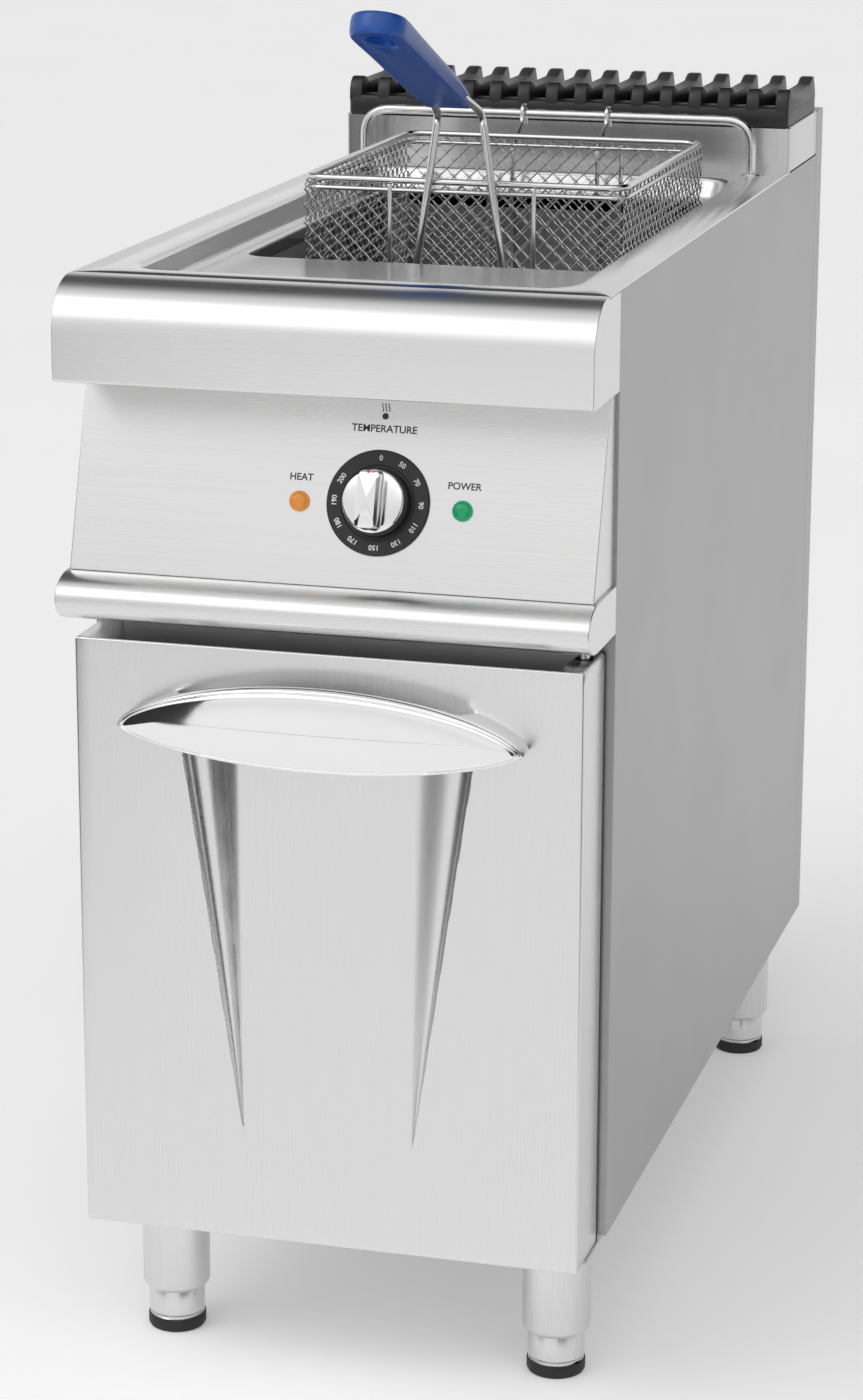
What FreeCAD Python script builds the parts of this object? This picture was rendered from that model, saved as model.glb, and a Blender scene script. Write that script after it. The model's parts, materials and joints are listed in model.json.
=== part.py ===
"""Floor-standing electric deep fryer with one basket, as a parametric assembly.

Frame: +Z up, X=0 on the centre plane, Y=0 at the middle of the overall depth with the door
at -Y, Z=0 on the floor. Millimetres.
"""
import FreeCAD, Part
import math
import os
import Sketcher
from FreeCAD import Placement, Rotation, Vector

doc = FreeCAD.newDocument("DeepFryer")
sheet = doc.addObject("Spreadsheet::Sheet", "Sizes")

DIMENSIONS = {
    # cabinet
    "width": 400, "cabinet_depth": 792, "rear_cover": 30, "base_height": 128, "worktop_height": 850,
    "gauge": 1.5, "plate": 3, "flange": 20, "gap": 0.4, "overcut": 1, "header_drop": 46,
    # front apron and control panel
    "apron_reach": 80, "apron_drop": 74, "apron_radius": 38, "seam_reach": 36,
    "panel_top_reach": 15, "panel_bottom_reach": 60, "panel_inset": 2.5,
    "roll_drop": 252, "roll_rise": 36, "roll_reach": 86, "roll_radius": 17,
    # pressed worktop
    "recess_inset": 37, "recess_depth": 19, "recess_front": -9, "recess_clear": 57, "recess_radius": 28,
    "tank_inset": 18, "tank_front": 190, "tank_clear": 10, "tank_radius": 22, "tank_depth": 200,
    # flue and grate
    "flue_depth": 135, "flue_height": 38, "flue_wall": 4, "grate_band": 17, "grate_ridge": 15,
    "grate_inset": 2, "ridges": 16, "ridge_width": 12, "grate_rim": 8, "grate_front": 10,
    "grate_back": 12, "grate_web": 6, "ridge_step": 3, "ridge_drop": 4, "ridge_run": 9,
    "slot_front": 18, "slot_back": 20,
    # basket rail
    "rail_inset": 27, "rail_clear": 35, "rail_rise": 47, "rail_radius": 4, "rail_bend": 22,
    "rail_flange_radius": 9, "rail_flange_height": 2,
    # door
    "door_inset": 7, "door_low": 5, "door_clear": 13, "door_face": 66, "door_back": 5,
    "liner_gap": 3, "flute_drop": 73, "flute_rise": 91, "flute_tip_half": 65, "flute_top_half": 97,
    "flute_half_width": 15, "flute_depth": 8, "flute_tip_radius": 0.2,
    "handle_inset": 39, "handle_drop": 59, "handle_rise": 41, "handle_fall": 22, "handle_proud": 38,
    "handle_bow": 12, "handle_gap": 22, "handle_end": 50, "handle_tip_radius": 7, "handle_spare": 10,
    "hinge_inset": 10, "hinge_depth": 26, "pin_radius": 4, "bush_radius": 7, "bush_length": 14,
    "bracket_drop": 8, "bracket_lap": 10, "bracket_rim": 5, "pin_head": 4,
    "screw_radius": 3.5, "screw_length": 3,
    "catch_inset": 43, "catch_width": 40, "catch_drop": 30, "catch_height": 18,
    # controls, measured on the panel from its centre
    "knob_across": 33, "knob_level": -12, "lamp_level": -14, "heat_across": -26, "power_across": 96,
    "dial_radius": 38.5, "dial_thick": 2, "skirt_radius": 25, "skirt_thick": 8, "cap_radius": 23,
    "cap_thick": 12, "blade_width": 15, "blade_rise": 10, "spindle_radius": 3, "lamp_radius": 7.5,
    "lamp_body": 6, "lamp_thick": 4, "lamp_depth": 24, "stat_size": 46, "stat_depth": 34,
    # tank fittings
    "element_radius": 4.25, "element_rise": 55, "element_share": 0.4276, "element_bend": 18,
    "element_spare": 60, "head_depth": 34, "head_height": 44, "head_share": 0.662,
    "grid_rise": 85, "grid_radius": 2.5, "grid_share": 0.2345, "bulb_radius": 3.2,
    "bulb_length": 150, "bulb_rise": 18, "pipe_radius": 13, "pipe_bore": 10, "pipe_inset": 42,
    "valve_half": 20, "valve_drop": 91, "spout_drop": 100, "stem_radius": 5, "lever_length": 105,
    "lever_thick": 4,
    # electrics
    "contactor_across": 60, "contactor_width": 46, "contactor_depth": 74, "contactor_height": 84,
    "block_inset": 60, "block_width": 92, "block_depth": 24, "block_height": 28,
    "gland_across": -60, "gland_inset": 57, "gland_radius": 12, "gland_bore": 7, "gland_length": 30,
    # basket
    "basket_across": 9, "basket_side": 14, "basket_front": 275, "basket_clear": 10,
    "basket_proud": 32, "basket_deep": 140, "basket_wall": 3, "basket_corner": 16,
    "rim_radius": 2.8, "wire_radius": 2, "stiffener_share": 0.4466,
    "hook_half": 37.5, "hook_gap": 0.5, "hook_low": 24, "hook_shoulder": 6, "hook_tail": 9,
    "hook_bend": 4.6, "leg_low_half": 37, "leg_top_half": 17.5, "leg_drop": 50, "leg_rise": 88,
    "leg_radius": 3, "leg_reach": 30, "leg_squeeze": 0.8, "leg_curve": 5,
    "grip_reach": 246, "grip_climb": 92, "grip_width": 42, "grip_thick": 17, "grip_length": 232,
    "grip_hole": 34, "grip_corner": 6, "grip_tip": 11, "grip_spare": 0.5,
    # legs and feet
    "foot_side": 45, "foot_front": 30, "foot_inset": 28, "leg_wall": 4.4, "leg_start": 34,
    "foot_tube": 22.1, "foot_top": 112, "cap_height": 11, "cap_foot_radius": 22.8, "slide_gap": 0.1,
}
# Sizes that follow from the ones above: each name stands for its formula.
LINKS = {
    "recess_half": "width / 2 - recess_inset", "tank_half": "recess_half - tank_inset",
    "flue_front": "cabinet_depth - flue_depth", "rail_depth": "flue_front - rail_clear",
    "recess_rear": "flue_front - recess_clear", "tank_rear": "recess_rear - tank_clear",
    "basket_rear": "tank_rear - basket_clear", "basket_half": "tank_half - basket_side",
    "stiffener_half": "basket_half * stiffener_share", "rail_half": "width / 2 - rail_inset",
    "grate_half": "width / 2 - grate_inset", "foot_half": "width / 2 - foot_side",
    "foot_rear": "cabinet_depth - foot_inset", "gland_depth": "cabinet_depth - gland_inset",
    "block_across": "block_inset - width / 2",
    "door_half": "width / 2 - door_inset", "hinge_across": "door_half - hinge_inset",
    "handle_half": "door_half - handle_inset", "handle_grip_half": "handle_half - handle_end",
    "catch_across": "catch_inset - door_half",
    "element_pitch": "tank_half * element_share", "grid_pitch": "tank_half * grid_share",
    "head_half": "tank_half * head_share", "pipe_depth": "tank_front + pipe_inset",
    "element_reach": "tank_rear - tank_front - element_spare",
    "tank_floor": "worktop_height - recess_depth - tank_depth",
    "element_level": "tank_floor + element_rise", "grid_level": "tank_floor + grid_rise",
    "valve_level": "tank_floor - valve_drop", "spout_end": "valve_level - spout_drop",
    "roll_height": "worktop_height - roll_drop", "door_top": "roll_height - door_clear",
    "door_bottom": "base_height - door_low", "handle_level": "door_top - handle_drop",
    "flute_top": "door_top - flute_drop", "flute_tip": "door_bottom + flute_rise",
    "basket_top": "worktop_height + basket_proud", "leg_low": "worktop_height - leg_drop",
    "leg_bend": "worktop_height + leg_rise", "leg_tube": "foot_tube + leg_wall",
}
for row, (alias, size) in enumerate(DIMENSIONS.items(), start=1):
    cell = f"B{row}"
    sheet.set(f"A{row}", alias.replace("_", " "))
    sheet.set(cell, str(size))
    sheet.setAlias(cell, alias)
doc.recompute()


def spelled(formula):
    """Replace each plain name in a formula by its spreadsheet cell or by its own formula."""
    parts = []
    word = ""
    for letter in str(formula) + " ":
        if letter.isalnum() or letter == "_":
            word += letter
            continue
        if word in LINKS:
            parts.append(f"({spelled(LINKS[word])})")
        else:
            parts.append(f"Sizes.{word}" if word in DIMENSIONS else word)
        parts.append(letter)
        word = ""
    return "".join(parts).strip()


def full(formula):
    """Write a formula over plain names as an expression on the spreadsheet."""
    return "0 * Sizes.gauge + " + spelled(formula)


def size(formula):
    """Give the present value of a formula in millimetres or plain numbers."""
    return float(sheet.evalExpression(full(formula)))


def place(item, x, y, z, rotation=None):
    """Bind an object's place to three formulas, with a fixed turn."""
    item.Placement = Placement(Vector(0, 0, 0), rotation or Rotation())
    for axis, formula in zip("xyz", (x, y, z)):
        item.setExpression(f"Placement.Base.{axis}", full(formula))
    return item


# Sides of the cabinet in the object's frame: the front edge of the side panels and what follows it.
FRONT = "(-(handle_proud + door_face + cabinet_depth + rear_cover) / 2 + handle_proud + door_face)"
REAR = f"({FRONT} + cabinet_depth)"
BACK = f"({REAR} + rear_cover)"
HALF = "(width / 2)"
DECK = "(worktop_height - gauge)"
TO_X = Rotation(Vector(0, 1, 0), 90)
TO_Y = Rotation(Vector(1, 0, 0), -90)
TO_FRONT = Rotation(Vector(1, 0, 0), 90)


def at(depth):
    """Formula of the place that lies a depth behind the side panels' front edge."""
    return f"({FRONT} + ({depth}))"


def box(name, x, y, z):
    """Box between pairs of formulas along each axis."""
    item = doc.addObject("Part::Box", name)
    for prop, (low, high) in zip(("Length", "Width", "Height"), (x, y, z)):
        item.setExpression(prop, full(f"({high}) - ({low})"))
    return place(item, x[0], y[0], z[0])


def rod(name, radius, length, x, y, z, rotation=None):
    """Cylinder from a point along its turned axis."""
    item = doc.addObject("Part::Cylinder", name)
    item.setExpression("Radius", full(radius))
    item.setExpression("Height", full(length))
    return place(item, x, y, z, rotation)


def fuse(name, items):
    """One solid, or a group of separate solids, from several."""
    item = doc.addObject("Part::MultiFuse", name)
    item.Shapes = items
    item.Refine = True
    return item


def cut(name, base, tools):
    """A base with one or more tools taken away."""
    item = doc.addObject("Part::Cut", name)
    item.Base = base
    item.Tool = tools[0] if len(tools) == 1 else fuse(f"{name}_tools", tools)
    return item


def common(name, items):
    """The space that several solids share."""
    item = doc.addObject("Part::MultiCommon", name)
    item.Shapes = items
    return item


def profile(name, plane, points, length, rounds=()):
    """Body padded from a polygon on an origin plane, with chosen corners rounded.

    plane is XY, XZ or YZ; length is the pad's full length, even about the plane for YZ and XZ
    and upwards for XY; rounds holds (corner numbers, radius formula).
    """
    body = doc.addObject("PartDesign::Body", name)
    sketch = body.newObject("Sketcher::SketchObject", f"{name}_sketch")
    role = [part for part in body.Origin.OriginFeatures if part.Role == f"{plane}_Plane"]
    sketch.AttachmentSupport = [(role[0], "")]
    sketch.MapMode = "FlatFace"
    corners = [Vector(size(u), size(v), 0) for u, v in points]
    count = len(corners)
    for i in range(count):
        sketch.addGeometry(Part.LineSegment(corners[i], corners[(i + 1) % count]))
    for i in range(count):
        sketch.addConstraint(Sketcher.Constraint("Coincident", i, 2, (i + 1) % count, 1))
    for i, (u, v) in enumerate(points):
        for kind, formula in (("DistanceX", u), ("DistanceY", v)):
            number = sketch.addConstraint(Sketcher.Constraint(kind, -1, 1, i, 1, size(formula)))
            sketch.setExpression(f"Constraints[{number}]", full(formula))
    pad = body.newObject("PartDesign::Pad", f"{name}_pad")
    pad.Profile = sketch
    pad.setExpression("Length", full(length))
    pad.Midplane = plane != "XY"
    doc.recompute()
    last = pad
    for numbers, radius in rounds:
        edges = []
        for number, edge in enumerate(last.Shape.Edges, start=1):
            ends = [sketch.Placement.inverse().multVec(vertex.Point) for vertex in edge.Vertexes]
            for corner in (corners[i] for i in numbers):
                if all(math.hypot(end.x - corner.x, end.y - corner.y) < 1e-4 for end in ends):
                    edges.append(f"Edge{number}")
        fillet = body.newObject("PartDesign::Fillet", f"{name}_round{len(body.Group)}")
        fillet.Base = (last, edges)
        fillet.setExpression("Radius", full(radius))
        doc.recompute()
        last = fillet
    return body


def rectangle(x, y):
    """Corners of a rectangle between pairs of formulas."""
    return [(x[0], y[0]), (x[1], y[0]), (x[1], y[1]), (x[0], y[1])]


def pan(name, half, y, z, radius, across="0"):
    """Upright block with four rounded corners, about the centre plane or beside it."""
    body = profile(name, "XY", rectangle((f"-({half})", half), y), f"({z[1]}) - ({z[0]})",
                   [((0, 1, 2, 3), radius)])
    return place(body, across, "0", z[0])


def bent_wire(name, points, radius, bend):
    """Round wire through points, with an arc of the bend radius at each inner point.

    A bent wire that leaves a plane has no primitive, so its shape is swept along its own path.
    """
    radius, bend = size(radius), size(bend)
    corners = [Vector(*(size(part) for part in point)) for point in points]
    edges, start = [], corners[0]
    for before, corner, after in zip(corners, corners[1:], corners[2:]):
        back, ahead = (before - corner).normalize(), (after - corner).normalize()
        half_turn = back.getAngle(ahead) / 2
        reach = bend / math.tan(half_turn)
        middle = corner + (back + ahead).normalize() * (bend / math.sin(half_turn) - bend)
        edges.append(Part.LineSegment(start, corner + back * reach).toShape())
        edges.append(Part.Arc(corner + back * reach, middle, corner + ahead * reach).toShape())
        start = corner + ahead * reach
    edges.append(Part.LineSegment(start, corners[-1]).toShape())
    circle = Part.Wire(Part.Circle(corners[0], corners[1] - corners[0], radius).toShape())
    item = doc.addObject("Part::Feature", name)
    item.Shape = Part.Wire(edges).makePipeShell([circle], True, True)
    item.Placement = Placement()
    return item


def closed_ring(name, half, y, level, radius, corner, across):
    """Rectangular ring of round wire with rounded corners, lying flat about a middle."""
    half, front, rear, middle = size(half), size(y[0]), size(y[1]), size(across)
    level, radius, corner = size(level), size(radius), size(corner)
    plate = Part.makePlane(2 * half, rear - front, Vector(middle - half, front, level))
    outline = Part.Wire(plate.OuterWire.Edges)
    block = Part.Face(outline).extrude(Vector(0, 0, 1))
    upright = [edge for edge in block.Edges if abs(edge.tangentAt(edge.FirstParameter).z) > 0.9]
    rounded = block.makeFillet(corner, upright)
    path = [face for face in rounded.Faces if abs(face.CenterOfMass.z - level) < 1e-6][0].OuterWire
    start = path.OrderedEdges[0]
    first = start.valueAt(start.FirstParameter)
    circle = Part.Wire(Part.Circle(first, start.tangentAt(start.FirstParameter), radius).toShape())
    item = doc.addObject("Part::Feature", name)
    item.Shape = path.makePipeShell([circle], True, True)
    item.Placement = Placement()
    return item



PARTS = []


def keep(item, label):
    """Name a finished sub-part."""
    item.Label = label
    PARTS.append(item)
    return item


def build_cabinet():
    """Panels of the carcass: base, sides, rear cover and header rail."""
    inner = f"({HALF} - gauge)"
    floor = box("base_block", (f"-{inner}", inner), (at("gap"), REAR), ("base_height", "base_height + plate"))
    hole = rod("gland_hole", "gland_radius - plate", "plate", "gland_across", at("gland_depth"),
               "base_height")
    keep(cut("base", floor, [hole]), "base_plate")
    for side, label in ((-1, "left_side_panel"), (1, "right_side_panel")):
        outline = [(f"{side} * {HALF}", FRONT), (f"{side} * {HALF}", REAR),
                   (f"{side} * {inner}", REAR), (f"{side} * {inner}", at("gauge")),
                   (f"{side} * ({HALF} - flange)", at("gauge")), (f"{side} * ({HALF} - flange)", FRONT)]
        panel = profile(label + "_body", "XY", outline, f"{DECK} - base_height")
        floor_cut = box(label + "_base", (f"-{inner}", inner), (at("gap"), REAR),
                        ("base_height", "base_height + plate"))
        keep(cut(label + "_cut", place(panel, "0", "0", "base_height"), [floor_cut]), label)
    top = "(worktop_height + flue_height)"
    outer = box("rear_outer", (f"-{HALF}", HALF), (REAR, BACK), ("base_height", top))
    hollow = box("rear_hollow", (f"-{inner}", inner), (REAR, f"{BACK} - gauge"),
                 ("base_height + gauge", f"{top} - gauge"))
    keep(cut("rear", outer, [hollow]), "rear_panel")
    rail_top = "roll_height"
    lip = box("header_lip", (f"-({inner} - flange)", f"{inner} - flange"), (FRONT, at("gauge")),
              (f"{rail_top} - header_drop", rail_top))
    shelf = box("header_shelf", (f"-{inner}", inner), (at("gauge"), at("3 * flange")),
                (f"{rail_top} - gauge", rail_top))
    keep(fuse("header", [lip, shelf]), "header_rail")


def build_front():
    """Apron with its rounded nose, slanted control panel and the roll below it."""
    apron_bottom = "(worktop_height - apron_drop)"
    outline = [(at("-apron_reach"), apron_bottom), (at("-apron_reach"), "worktop_height"),
               (at("-seam_reach"), "worktop_height"), (at("-seam_reach"), DECK), (FRONT, DECK),
               (FRONT, apron_bottom)]
    shell = profile("apron_shell", "YZ", outline, "width", [((1,), "apron_radius")])
    inside = [(at("-apron_reach + gauge"), f"{apron_bottom} + gauge"),
              (at("-apron_reach + gauge"), "worktop_height - 2 * gauge"),
              (at("overcut"), "worktop_height - 2 * gauge"), (at("overcut"), f"{apron_bottom} + gauge")]
    hollow = profile("apron_hollow", "YZ", inside, "width - 2 * gauge", [((1,), "apron_radius - gauge")])
    tub_room = box("apron_notch", ("-(recess_half + 2 * gauge)", "recess_half + 2 * gauge"),
                   (at("recess_front - 2 * gauge"), at("overcut")),
                   ("worktop_height - recess_depth - 2 * gauge", "worktop_height"))
    keep(cut("apron", shell, [hollow, tub_room]), "front_apron")

    panel_top, roll_top = f"({apron_bottom} - gap / 4)", "(roll_height + roll_rise)"
    half = "(width - 2 * panel_inset)"
    face = [(at("-panel_top_reach"), panel_top), (at("-panel_bottom_reach"), roll_top),
            (FRONT, roll_top), (FRONT, panel_top)]
    behind = [(at("-panel_top_reach + gauge"), f"{panel_top} - gauge"),
              (at("-panel_bottom_reach + gauge"), f"{roll_top} + gauge"),
              (at("overcut"), f"{roll_top} + gauge"), (at("overcut"), f"{panel_top} - gauge")]
    shell = profile("fascia_shell", "YZ", face, half)
    hollow = profile("fascia_hollow", "YZ", behind, f"{half} - 2 * gauge")
    holes = [on_panel(rod("spindle_hole", "spindle_radius + slide_gap / 2", "4 * gauge", "0", "0", "0"),
                      "knob_across", "knob_level", "-3 * gauge")]
    for name, across in (("heat", "heat_across"), ("power", "power_across")):
        holes.append(on_panel(rod(f"{name}_hole", "lamp_body", "4 * gauge", "0", "0", "0"),
                              across, "lamp_level", "-3 * gauge"))
    keep(cut("fascia", shell, [hollow] + holes), "control_panel")

    roll = [(FRONT, "roll_height"), (at("-roll_reach"), "roll_height"), (at("-roll_reach"), roll_top),
            (FRONT, roll_top)]
    inside = [(at("overcut"), "roll_height + gauge"), (at("-roll_reach + gauge"), "roll_height + gauge"),
              (at("-roll_reach + gauge"), f"{roll_top} - gauge"), (at("overcut"), f"{roll_top} - gauge")]
    shell = profile("roll_shell", "YZ", roll, "width", [((1, 2), "roll_radius")])
    hollow = profile("roll_hollow", "YZ", inside, "width - 2 * gauge", [((1, 2), "roll_radius - gauge")])
    keep(cut("roll", shell, [hollow]), "fascia_roll")


PANEL_RISE = "(worktop_height - apron_drop - gap / 4 - roll_height - roll_rise)"
PANEL_RUN = "(panel_bottom_reach - panel_top_reach)"
PANEL_MID = ("(-(panel_top_reach + panel_bottom_reach) / 2)",
             "((worktop_height - apron_drop - gap / 4 + roll_height + roll_rise) / 2)")


def on_panel(item, across, up, out):
    """Stand an object on the slanted panel: across, up along it and out from its face."""
    lean = f"({PANEL_RUN} / sqrt({PANEL_RUN}^2 + {PANEL_RISE}^2))"
    level = f"({PANEL_RISE} / sqrt({PANEL_RUN}^2 + {PANEL_RISE}^2))"
    turn = 90 - math.degrees(math.atan2(size(PANEL_RUN), size(PANEL_RISE)))
    depth = f"{PANEL_MID[0]} + ({up}) * {lean} - ({out}) * {level}"
    height = f"{PANEL_MID[1]} + ({up}) * {level} + ({out}) * {lean}"
    return place(item, across, at(depth), height, Rotation(Vector(1, 0, 0), turn))


def build_controls():
    """Dial, knob, lamps and the thermostat behind the slanted panel."""
    def stack(name, radius, length, out, across="knob_across", up="knob_level"):
        return on_panel(rod(name, radius, length, "0", "0", "0"), across, up, out)

    ring = stack("dial_disc", "dial_radius", "dial_thick", "0")
    hole = stack("dial_hole", "spindle_radius + slide_gap / 2", "3 * dial_thick", "-dial_thick")
    keep(cut("dial", ring, [hole]), "dial_plate")
    base = "dial_thick + gap"
    skirt = stack("skirt_disc", "skirt_radius", "skirt_thick", base)
    bore = stack("skirt_bore", "spindle_radius", "skirt_thick", base)
    keep(cut("skirt", skirt, [bore]), "knob_skirt")
    cap = stack("cap_disc", "cap_radius", "cap_thick", f"{base} + skirt_thick")
    blade = box("cap_blade", ("0", "blade_width"), ("0", "2 * cap_radius - 2"), ("0", "blade_rise"))
    on_panel(blade, "knob_across - blade_width / 2", "knob_level - cap_radius + 1",
             f"{base} + skirt_thick + cap_thick")
    keep(fuse("cap", [cap, blade]), "knob_cap")
    keep(stack("spindle", "spindle_radius", f"{base} + skirt_thick + 12 * gauge", "-12 * gauge"),
         "knob_spindle")
    stat = box("stat_box", ("0", "stat_size"), ("0", "stat_size"), ("0", "stat_depth"))
    on_panel(stat, "knob_across - stat_size / 2", "knob_level - stat_size / 2",
             "-stat_depth - gauge - gap / 2")
    bore = stack("stat_bore", "spindle_radius + slide_gap / 2", "14 * gauge", "-13 * gauge")
    keep(cut("stat", stat, [bore]), "thermostat_body")
    bodies = []
    for name, across in (("heat", "heat_across"), ("power", "power_across")):
        keep(stack(f"{name}_lens", "lamp_radius", "lamp_thick", "0", across, "lamp_level"),
             f"{name}_lamp_lens")
        bodies.append(stack(f"{name}_body", "lamp_body", "lamp_depth", "-lamp_depth", across, "lamp_level"))
    keep(fuse("lamps", bodies), "lamp_bodies")


def build_worktop():
    """Pressed worktop: deck, recess and the opening that the tank hangs in."""
    floor = "(worktop_height - recess_depth)"
    deck = box("deck", (f"-{HALF}", HALF), (at("-seam_reach"), REAR), (DECK, "worktop_height"))
    tub = pan("tub", "recess_half + gauge", (at("recess_front - gauge"), at("recess_rear + gauge")),
              (f"{floor} - gauge", DECK), "recess_radius + gauge")
    sink = pan("sink", "recess_half", (at("recess_front"), at("recess_rear")),
               (floor, "worktop_height + gauge"), "recess_radius")
    well = pan("well", "tank_half", (at("tank_front"), at("tank_rear")),
               (f"{floor} - 2 * gauge", f"{floor} + gauge"), "tank_radius")
    bolts = [rod(f"rail_hole_{i}", "rail_radius", "3 * gauge", f"{side} * rail_half", at("rail_depth"),
                 f"{DECK} - gauge") for i, side in enumerate((-1, 1))]
    flue = box("flue_hole", (f"-({HALF} - 3 * flue_wall)", f"{HALF} - 3 * flue_wall"),
               (at("flue_front + 2 * flue_wall"), f"{REAR} - 2 * flue_wall"),
               (f"{DECK} - 1", "worktop_height + 1"))
    keep(cut("worktop_cut", fuse("worktop_sheet", [deck, tub]), [sink, well, flue] + bolts), "worktop")


def build_tank():
    """Oil tank below the worktop with heater, grid, thermostat bulb and drain."""
    rim = "(worktop_height - recess_depth - gauge)"
    floor = f"({rim} - tank_depth)"
    outer = pan("tank_outer", "tank_half + gauge", (at("tank_front - gauge"), at("tank_rear + gauge")),
                (f"{floor} - gauge", rim), "tank_radius + gauge")
    inner = pan("tank_inner", "tank_half", (at("tank_front"), at("tank_rear")), (floor, f"{rim} + 1"),
                "tank_radius")
    drain = rod("drain_hole", "pipe_bore", "10 * gauge", "0", at("pipe_depth"), f"{floor} - 5 * gauge")
    lengths, heads = [], []
    for i in range(3):
        middle = f"(element_pitch * {i - 1})"
        for side in (-1, 1):
            across = f"{middle} + {side} * element_bend"
            lengths.append(rod(f"element_{i}_{side + 1}", "element_radius", "element_reach", across,
                               at("tank_front - 4 * gauge"), "element_level", TO_Y))
            heads.append(rod(f"element_hole_{i}_{side + 1}", "element_radius", "6 * gauge", across,
                             at("tank_front - 4 * gauge"), "element_level", TO_Y))
        bend = doc.addObject("Part::Torus", f"element_bend_{i}")
        bend.setExpression("Radius1", full("element_bend"))
        bend.setExpression("Radius2", full("element_radius"))
        bend.Angle3 = 180
        lengths.append(place(bend, middle, at("tank_front - 4 * gauge + element_reach"), "element_level"))
    bulb_level = "(element_level + bulb_rise)"
    bulb_hole = rod("bulb_hole", "bulb_radius", "8 * gauge", "0", at("tank_front - 4 * gauge"), bulb_level,
                    TO_Y)
    keep(cut("tank", outer, [inner, drain, bulb_hole] + heads), "oil_tank")
    keep(fuse("elements", lengths), "heating_elements")
    cover = box("head_block", ("-head_half", "head_half"),
                (at("tank_front - gauge - head_depth"), at("tank_front - gauge")),
                ("element_level - head_height / 2", "element_level + head_height / 2"))
    room = box("head_room", ("-head_half + gauge", "head_half - gauge"),
               (at("tank_front - head_depth"), at("tank_front")),
               ("element_level - head_height / 2 + gauge", "element_level + head_height / 2 - gauge"))
    bulb_way = rod("bulb_way", "bulb_radius", "head_depth * 2", "0", at("tank_front - head_depth * 1.5"),
                   bulb_level, TO_Y)
    keep(cut("head", cover, [room, bulb_way]), "element_head")
    keep(rod("bulb", "bulb_radius", "bulb_length + head_depth + 4 * gauge", "0",
             at("tank_front - head_depth - 4 * gauge"), bulb_level, TO_Y), "thermostat_bulb")

    bars = []
    for i in range(-3, 4):
        bars.append(rod(f"grid_bar_{i + 3}", "grid_radius", "tank_rear - tank_front - 4", f"{i} * grid_pitch",
                        at("tank_front + 2"), "grid_level", TO_Y))
    for i, depth in enumerate(("tank_front + tank_radius * 2", "tank_rear - tank_radius * 2")):
        bars.append(rod(f"grid_cross_{i}", "grid_radius", "2 * tank_half", "-tank_half",
                        at(depth), "grid_level", TO_X))
    keep(fuse("grid", bars), "basket_rest_grid")

    low, high = "(valve_level - valve_half)", "(valve_level + valve_half)"
    runs = [("upper", high, f"{floor} - gauge"), ("spout", "spout_end", low)]
    pipes = []
    for name, start, end in runs:
        pipe = rod(f"pipe_{name}", "pipe_radius", f"({end}) - ({start})", "0", at("pipe_depth"), start)
        bore = rod(f"pipe_{name}_bore", "pipe_bore", f"({end}) - ({start})", "0", at("pipe_depth"), start)
        pipes.append(cut(f"pipe_{name}_tube", pipe, [bore]))
    keep(fuse("pipes", pipes), "drain_pipes")
    block = box("valve_block", ("-valve_half", "valve_half"),
                (at("pipe_depth - valve_half"), at("pipe_depth + valve_half")), (low, high))
    bore = rod("valve_bore", "pipe_bore", "2 * valve_half", "0", at("pipe_depth"), low)
    stem_hole = rod("stem_hole", "stem_radius + slide_gap / 2", "valve_half", "0",
                    at("pipe_depth - pipe_bore"),
                    "valve_level", TO_FRONT)
    keep(cut("valve", block, [bore, stem_hole]), "drain_valve_body")
    face = "(pipe_depth - valve_half)"
    keep(rod("stem", "stem_radius", "valve_half - pipe_bore + 3 * lever_thick", "0",
             at("pipe_depth - pipe_bore"), "valve_level", TO_FRONT), "valve_stem")
    near, far = f"{face} - 2.5 * lever_thick", f"{face} - 1.5 * lever_thick"
    bar = box("lever_bar", ("-stem_radius * 2", "lever_length"), (at(near), at(far)),
              ("valve_level - stem_radius * 2", "valve_level + stem_radius * 2"))
    stem_way = rod("lever_hole", "stem_radius", "3 * lever_thick", "0", at(f"{face} - lever_thick"),
                   "valve_level", TO_FRONT)
    keep(cut("lever", bar, [stem_way]), "valve_lever")
    sleeve = box("sleeve_block", ("lever_length / 2", "lever_length + lever_thick"),
                 (at(f"{near} - lever_thick"), at(f"{far} + lever_thick")),
                 ("valve_level - stem_radius * 2 - lever_thick",
                  "valve_level + stem_radius * 2 + lever_thick"))
    slot = box("sleeve_slot", ("lever_length / 2", "lever_length"), (at(near), at(far)),
               ("valve_level - stem_radius * 2", "valve_level + stem_radius * 2"))
    keep(cut("sleeve", sleeve, [slot]), "lever_sleeve")


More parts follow.
